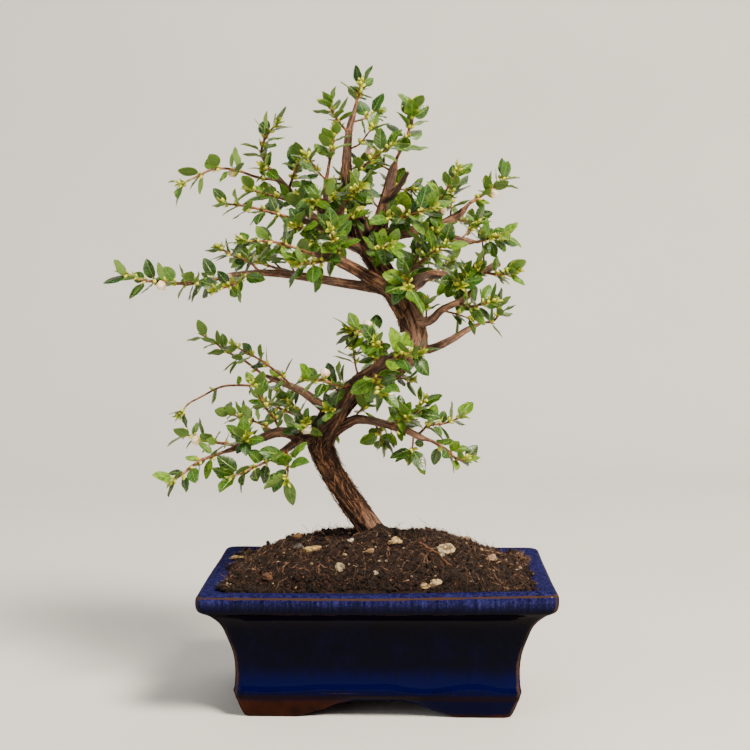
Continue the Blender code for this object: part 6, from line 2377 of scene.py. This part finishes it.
@dataclass(frozen=True)
class PetalFinish:
    """A flower bud about to open: cream petals flushed with pink, held by a green cup with five lobes."""

    petal: Colour = (240, 226, 192)
    flush: Colour = (214, 154, 126)
    cup: Colours = ((104, 126, 30), (160, 170, 52))
    unripe: Colours = ((142, 160, 26), (208, 206, 62))
    cup_height: float = 0.36
    lobe_height: float = 0.22
    spot_scale: float = 1.4

    def make(self) -> Look:
        """Returns the material, which reads the turn round the bud and the height on it from place."""
        look, book = new_look("flower_bud")
        lobe, height, _ = book.parts(book.attribute("place"))
        ripe = book.parts(book.attribute("kind"))[1]
        spots = book.noise(book.here(), self.spot_scale, 2.0)
        petal = book.blend(book.fade(height, 0.9, 0.4, 0.0, 0.8), self.petal, self.flush)
        petal = book.blend(book.fade(lobe, 0.3, 0.0, 0.0, 0.75), petal, self.flush)
        petal = book.blend(ripe, book.blend(height, *self.unripe), petal)
        top = lobe * self.lobe_height + self.cup_height
        colour = book.blend(book.fade(height - top, 0.03, -0.03), petal, book.blend(spots, *self.cup))
        book.shade(Base_Color=colour, Roughness=book.fade(spots, 0.3, 0.7, 0.5, 0.65),
                   Normal=book.bump(lobe + spots * 0.4, 0.3, 0.5))
        return look


def measures(leaves: Sequence[Leaf], *names: str) -> list[Array]:
    """Returns named measures of leaves, shaped to go with the points along them."""
    return [np.array([getattr(leaf, name) for leaf in leaves]).reshape(len(leaves), 1, -1) for name in names]


@dataclass(frozen=True)
class Tuft:
    """A bunch of young leaves: how many, how they lean, how much longer, and how far out they start."""

    numbers: tuple[int, int]
    leans: Pair
    longer: float
    out: float


@dataclass
class Foliage:
    """Turns the planned twigs into meshes: fine tubes, thin folded leaves, young leaves and buds."""

    rows: Steps = (0.0, 0.12, 0.2, 0.34, 0.5, 0.67, 0.83, 0.945, 1.0)
    columns: Steps = (1.0, 0.5, 0.0, -0.5, -1.0, 0.0)
    young_rows: Steps = (0.0, 0.2, 0.5, 0.8, 1.0)
    young_columns: Steps = (1.0, 0.0, -1.0, 0.0)
    sky_pull: float = 0.5
    thickness: float = 0.3
    thinner: float = 0.4
    stalk_end: float = 0.12
    stalk_width: float = 0.05
    stalk_height: float = 0.25
    outline_top: float = 0.3846
    twist: float = 0.16
    folds: Pair = (0.15, 0.6)
    young_folds: Pair = (0.5, 1.1)
    curls: Pair = (0.1, 0.6)
    wave: Pair = (0.0, 0.18)
    waves: float = 11.0
    twig_sides: int = 8
    twig_step: float = 1.0
    twig_back: float = 1.2
    node_swelling: float = 0.32
    node_length: float = 0.9
    tip_narrowing: float = 0.45
    tuft: Tuft = Tuft((1, 4), (0.5, 1.3), 1.0, 0.8)
    tip_tuft: Tuft = Tuft((4, 7), (0.15, 0.9), 1.35, 0.4)
    tuft_turn: Pair = (2.4, 0.3)
    tuft_lift: float = 0.2
    tip_tuft_back: float = 0.3
    young_length: Pair = (2.6, 5.2)
    young_age: Pair = (0.0, 0.3)
    young_width: Pair = (0.3, 0.46)
    young_droop: Pair = (-0.15, 0.2)
    bud_sides: int = 10
    bud_rows: Steps = (0.0, 0.06, 0.16, 0.3, 0.48, 0.66, 0.82, 0.94, 1.0)
    bud_widths: Steps = (0.16, 0.2, 0.36, 0.72, 0.98, 1.0, 0.8, 0.42, 0.08)
    bud_length: float = 7.6
    bud_width: float = 5.6
    bud_lobes: float = 0.12
    small_bud_sides: int = 6
    small_bud_rows: Steps = (0.0, 0.25, 0.6, 0.9, 1.0)
    small_bud_widths: Steps = (0.3, 0.85, 1.0, 0.6, 0.1)
    small_bud_shape: Pair = (1.25, 0.42)
    small_bud_turn: Pair = (2.0, 0.5)
    small_bud_leans: Pair = (0.2, 1.1)
    small_bud_lift: float = 0.35
    small_bud_out: float = 0.7
    small_buds: tuple[int, int] = (1, 4)
    small_bud_size: Pair = (1.7, 2.9)
    sharp: float = 55.0

    def outline(self, along: Array) -> Array:
        """Returns the blade's half width, up to 1: u^0.6 * (1 - u)^0.8 beyond the stalk."""
        u = np.clip((along - self.stalk_end) / (1 - self.stalk_end), 0, 1)
        return np.maximum(u**0.6 * (1 - u) ** 0.8 / self.outline_top, self.stalk_width * (along < 0.5))

    def lines(self, leaves: Sequence[Leaf], share: Array) -> tuple[Array, Array, Array]:
        """Works out middle lines, which bend down with the square of the distance along them.

        Args:
            leaves: The leaves.
            share: How far along the leaf each point lies, from 0 to 1.

        Returns:
            The points, the way to the right of each, and the way up from the blade there.
        """
        root, ahead, up, length, droop = measures(leaves, "root", "ahead", "up", "length", "droop")
        up = squared(up + self.sky_pull * UP, ahead)
        line = root + ahead * (length * share) - up * (length * droop * share**2)
        forward = units(ahead - up * (2 * droop * share))
        level = squared(up, forward)
        return line, np.cross(level, forward), level

    def add_leaves(self, parts: MeshParts, chance: Chance, leaves: Sequence[Leaf], rows: Steps,
                   columns: Steps) -> None:
        """Adds leaves to a mesh as closed thin shells.

        Across a leaf lies a fold that rises with the distance from the middle, bent down again
        at the margin. The leaf twists evenly towards the tip, and its margin waves a little.

        Args:
            parts: The mesh.
            chance: Where the random draws come from.
            leaves: The leaves.
            rows: How far along the leaf each ring lies.
            columns: How far across it each point of a ring lies, the last ones below.
        """
        if not leaves:
            return
        one = (len(leaves), 1, 1)
        share, beside = np.array(rows)[:, None], np.array(columns)
        reach, below = np.abs(beside), np.arange(len(beside)) > int(np.argmin(beside))
        width, age = measures(leaves, "width", "age")
        line, right, level = self.lines(leaves, share)
        twist = chance.normal(0, self.twist, one) * share
        cos, sin = np.cos(twist), np.sin(twist)
        right, level = right * cos + level * sin, level * cos - right * sin
        half = width / 2 * self.outline(share)
        fold = chance.uniform(*self.folds, one) * age + chance.uniform(*self.young_folds, one) * (1 - age)
        curl = chance.uniform(*self.curls, one) * age
        wave = chance.uniform(*self.wave, one) * np.sin(share * self.waves + chance.uniform(0, 6, one))
        rise = half * (reach * fold - reach**2 * curl + wave * reach**3)
        thick = self.thickness * below * (1 - self.thinner * share)
        stalk = np.maximum(0, 1 - share / self.stalk_end) * self.stalk_height
        lift = rise - thick + stalk * np.where(below, -1.0, 1.0) * (reach < 0.8)
        points = line[:, :, None] + right[:, :, None] * (half * beside)[..., None]
        points = points + level[:, :, None] * lift[..., None]
        side = np.where(below, 0.0, np.where(reach > 0.8, 0.5, 1.0))
        kind = stacked(chance.random(one), age, chance.random(one))
        parts.add(points, closed_faces(len(rows), len(columns), len(leaves)), Skin.LEAF.value,
                  place=stacked(beside, share, side), kind=kind)

    def young_leaves(self, chance: Chance, twig: Twig) -> list[Leaf]:
        """Sets tufts of folded young leaves at the stations and a fuller one at the tip.

        Args:
            chance: Where the random draws come from.
            twig: The twig.

        Returns:
            The leaves.
        """
        tufts = [(mark, self.tuft) for mark in twig.stations + HABIT.station_length / 2]
        leaves = []
        for mark, tuft in (*tufts, (twig.length - self.tip_tuft_back, self.tip_tuft)):
            place, ahead, edge = twig.at(mark)
            turn = chance.uniform(0, CIRCLE)
            for _ in range(chance.integers(*tuft.numbers)):
                turn += self.tuft_turn[0] + self.tuft_turn[1] * chance.uniform(-1, 1)
                outward = around(ahead, edge, turn)
                direction = unit(ahead + outward * chance.uniform(*tuft.leans) + UP * self.tuft_lift)
                length = chance.uniform(*self.young_length) * tuft.longer
                root = place + outward * twig.radius_at(mark) * tuft.out
                limits = (self.young_age, self.young_width, self.young_droop)
                age, width, droop = (chance.uniform(*each) for each in limits)
                up = across(ahead - outward * 0.5, direction)
                leaves.append(Leaf(root, direction, up, length, length * width, droop, age))
        return leaves

    def add_twig(self, parts: MeshParts, twig: Twig) -> None:
        """Adds the twig: a tube that swells at each station and closes at its tip.

        Args:
            parts: Where it is added.
            twig: The twig.
        """
        marks = np.arange(0, twig.length, self.twig_step)
        route = sampled(marks, twig.along, twig.route)
        back = self.twig_back if twig.collar is None else SEAT_GAP + HABIT.collar_length + 1.0
        route = np.vstack((route[0] - twig.ahead[0] * back, route, twig.tip - twig.ahead[-1] * 0.5))
        marks = np.concatenate(([0.0], marks, [twig.length]))
        off = (marks[:, None] - twig.stations - HABIT.station_length / 2) / self.node_length
        radii = twig.radius_at(marks) * (1 + self.node_swelling * np.exp(-(off**2)).max(axis=1))
        radii[-1] *= self.tip_narrowing
        add_tubes(parts, route[None], radii[None], self.twig_sides, Skin.TWIG.value,
                  place=stacked(0.0, (marks / twig.length)[:, None], 1.0), kind=(0.5, 1.0, 0.5))

    def add_bud(self, parts: MeshParts, root: Array, ahead: Array) -> None:
        """Adds a flower bud: rings whose radius has five lobes, closed at both ends.

        Args:
            parts: Where it is added.
            root: Its foot.
            ahead: The way it points.
        """
        angles = angles_round(self.bud_sides)
        lobes, rows = np.cos(5 * angles), np.array(self.bud_rows)
        route = root + ahead * (self.bud_length * rows)[:, None]
        widths = self.bud_width * 0.5 * np.array(self.bud_widths)
        side = across(UP if abs(ahead[2]) < HABIT.steep else np.array((1.0, 0.0, 0.0)), ahead)
        shape = widths[:, None] * (1 + self.bud_lobes * lobes * eased(rows, 0.2, 0.5)[:, None])
        points = route[:, None] + spread(ahead, side, angles) * shape[..., None]
        parts.add(points, closed_faces(len(rows), self.bud_sides), Skin.PETAL.value,
                  place=stacked(0.5 + 0.5 * lobes, rows[:, None], 1.0), kind=(0.5, 1.0, 0.5))

    def add_small_buds(self, parts: MeshParts, chance: Chance, twig: Twig) -> None:
        """Adds clusters of small green buds at the stations and the tip, as round tubes that swell.

        Args:
            parts: Where they are added.
            chance: Where the random draws come from.
            twig: The twig that bears them.
        """
        routes, radii = [], []
        rows, widths = np.array(self.small_bud_rows), np.array(self.small_bud_widths)
        for mark in (*(twig.stations + HABIT.station_length / 2), twig.length):
            place, ahead, edge = twig.at(mark)
            turn = chance.uniform(0, CIRCLE)
            for _ in range(chance.integers(*self.small_buds)):
                turn += self.small_bud_turn[0] + self.small_bud_turn[1] * chance.uniform(-1, 1)
                outward = around(ahead, edge, turn)
                lean = ahead * chance.uniform(*self.small_bud_leans)
                direction = unit(outward + lean + UP * self.small_bud_lift)
                size = chance.uniform(*self.small_bud_size)
                root = place + outward * twig.radius_at(mark) * self.small_bud_out
                routes.append(root + direction * (size * self.small_bud_shape[0] * rows)[:, None])
                radii.append(size * self.small_bud_shape[1] * widths)
        add_tubes(parts, np.array(routes), np.array(radii), self.small_bud_sides, Skin.PETAL.value,
                  place=stacked(0.0, 0.3 + 0.7 * rows[:, None], 1.0), kind=(0.5, 0.0, 0.5))

    def dress(self, parts: MeshParts, chance: Chance, crown: Crown, twig: Twig) -> None:
        """Adds one twig with all that it bears.

        Args:
            parts: Where it is added.
            chance: Where the random draws come from.
            crown: What all the twigs bear.
            twig: The twig.
        """
        name = twig.sprig.name
        self.add_twig(parts, twig)
        self.add_leaves(parts, chance, crown.leaves[name], self.rows, self.columns)
        self.add_leaves(parts, chance, self.young_leaves(chance, twig), self.young_rows, self.young_columns)
        self.add_small_buds(parts, chance, twig)
        for root, ahead in crown.blooms[name]:
            self.add_bud(parts, root, ahead)

    def make(self, crown: Crown) -> None:
        """Makes one piece for each twig, in place of its solid, and one for all short shoots.

        Args:
            crown: The twigs and what they bear.
        """
        looks = (LeafFinish().make(), TwigFinish().make(), PetalFinish().make())
        for order, twig in enumerate(crown.twigs):
            parts = MeshParts()
            self.dress(parts, np.random.default_rng(SEED + 300 + order), crown, twig)
            name = twig.sprig.name
            make_piece(parts.mesh("leafy_" + name), looks, ("spray_" + name,), self.sharp)
        parts, chance = MeshParts(), np.random.default_rng(SEED + 290)
        for twig in crown.spurs:
            self.dress(parts, chance, crown, twig)
        make_piece(parts.mesh("leafy_spurs"), looks, sharp=self.sharp)


@dataclass(frozen=True)
class Lamp:
    """A square soft light, with its place, its aim and its size in millimetres."""

    name: str
    place: Place
    aim: Place
    size: float
    power: float
    colour: Colour

    def add(self) -> None:
        """Adds it to the scene."""
        data = bpy.data.lights.new(self.name, "AREA")
        data.size = self.size * MM
        data.energy = self.power
        data.color = light_of(self.colour)
        lamp = placed(self.name, data)
        start, end = in_frame(np.array(self.place)), in_frame(np.array(self.aim))
        lamp.location = start
        lamp.rotation_euler = Vector(end - start).to_track_quat("-Z", "Y").to_euler()


@dataclass
class Studio:
    """A pale floor that curves up behind, soft light, and the camera where the photograph was taken."""

    camera_at: Place = (20.74, -910.67, 253.75)
    pitch: float = 3.999
    yaw: float = 1.467
    focal: float = 74.49
    sensor: float = 36.0
    floor_half: float = 2600.0
    wall_at: float = 900.0
    bend: float = 500.0
    bend_rows: int = 24
    wall_height: float = 1900.0
    paper: Colours = ((206, 204, 200), (214, 212, 208))
    sky: Colour = (232, 232, 236)
    sky_strength: float = 0.22
    lamps: tuple[Lamp, ...] = (
        Lamp("key_light", (1150.0, -1250.0, 1950.0), (0.0, 0.0, 180.0), 760.0, 178.0, (255, 242, 224)),
        Lamp("fill_light", (-2100.0, -1700.0, 1300.0), (0.0, 0.0, 160.0), 2400.0, 42.0, (250, 248, 246)),
        Lamp("back_light", (200.0, 1300.0, 2200.0), (0.0, 0.0, 220.0), 1700.0, 28.0, (255, 250, 242)),
    )

    def floor(self) -> None:
        """Adds the floor: a straight line, a quarter circle and a straight line, drawn out sideways."""
        turn = np.linspace(0, math.pi / 2, self.bend_rows)
        depth = self.wall_at + self.bend * np.sin(turn)
        depth = np.concatenate(([-self.floor_half], depth, [self.wall_at + self.bend]))
        height = np.concatenate(([0.0], self.bend * (1 - np.cos(turn)), [self.wall_height]))
        parts = MeshParts()
        parts.add(stacked(np.array((-self.floor_half, self.floor_half)), depth[:, None], height[:, None]),
                  [np.arange(len(depth) - 1)[:, None] * 2 + np.array((0, 1, 3, 2))])
        mesh = parts.mesh("studio_floor")
        mesh.shade_smooth()
        look, book = new_look("studio_paper")
        paper = book.noise(book.here(), 0.004, 2.0)
        book.shade(Base_Color=book.blend(paper, *self.paper), Roughness=book.fade(paper, 0.0, 1.0, 0.9, 0.96))
        mesh.materials.append(look)
        placed("studio_floor", mesh)

    def camera(self) -> None:
        """Adds the camera."""
        data = bpy.data.cameras.new("camera")
        data.sensor_width = self.sensor
        data.lens = self.focal
        camera = placed("camera", data)
        camera.location = in_frame(np.array(self.camera_at))
        camera.rotation_euler = (math.radians(90 - self.pitch), 0.0, math.radians(self.yaw))
        bpy.context.scene.camera = camera

    def build(self) -> None:
        """Sets up the floor, the light and the camera."""
        world = bpy.data.worlds.new("studio_light")
        world.use_nodes = True
        background = world.node_tree.nodes["Background"]
        background.inputs["Color"].default_value = linear(self.sky)
        background.inputs["Strength"].default_value = self.sky_strength
        bpy.context.scene.world = world
        self.floor()
        for lamp in self.lamps:
            lamp.add()
        self.camera()


def main() -> None:
    """Builds the pot, the soil, the wood, the leafy twigs and the studio."""
    logging.basicConfig(level=logging.INFO, format="%(message)s")
    pot = Pot()
    pot.make()
    Soil().make(pot)
    crown = Crown()
    crown.grow()
    Wood().make(crown.twigs)
    Foliage().make(crown)
    Studio().build()


if __name__ == "__main__":
    main()
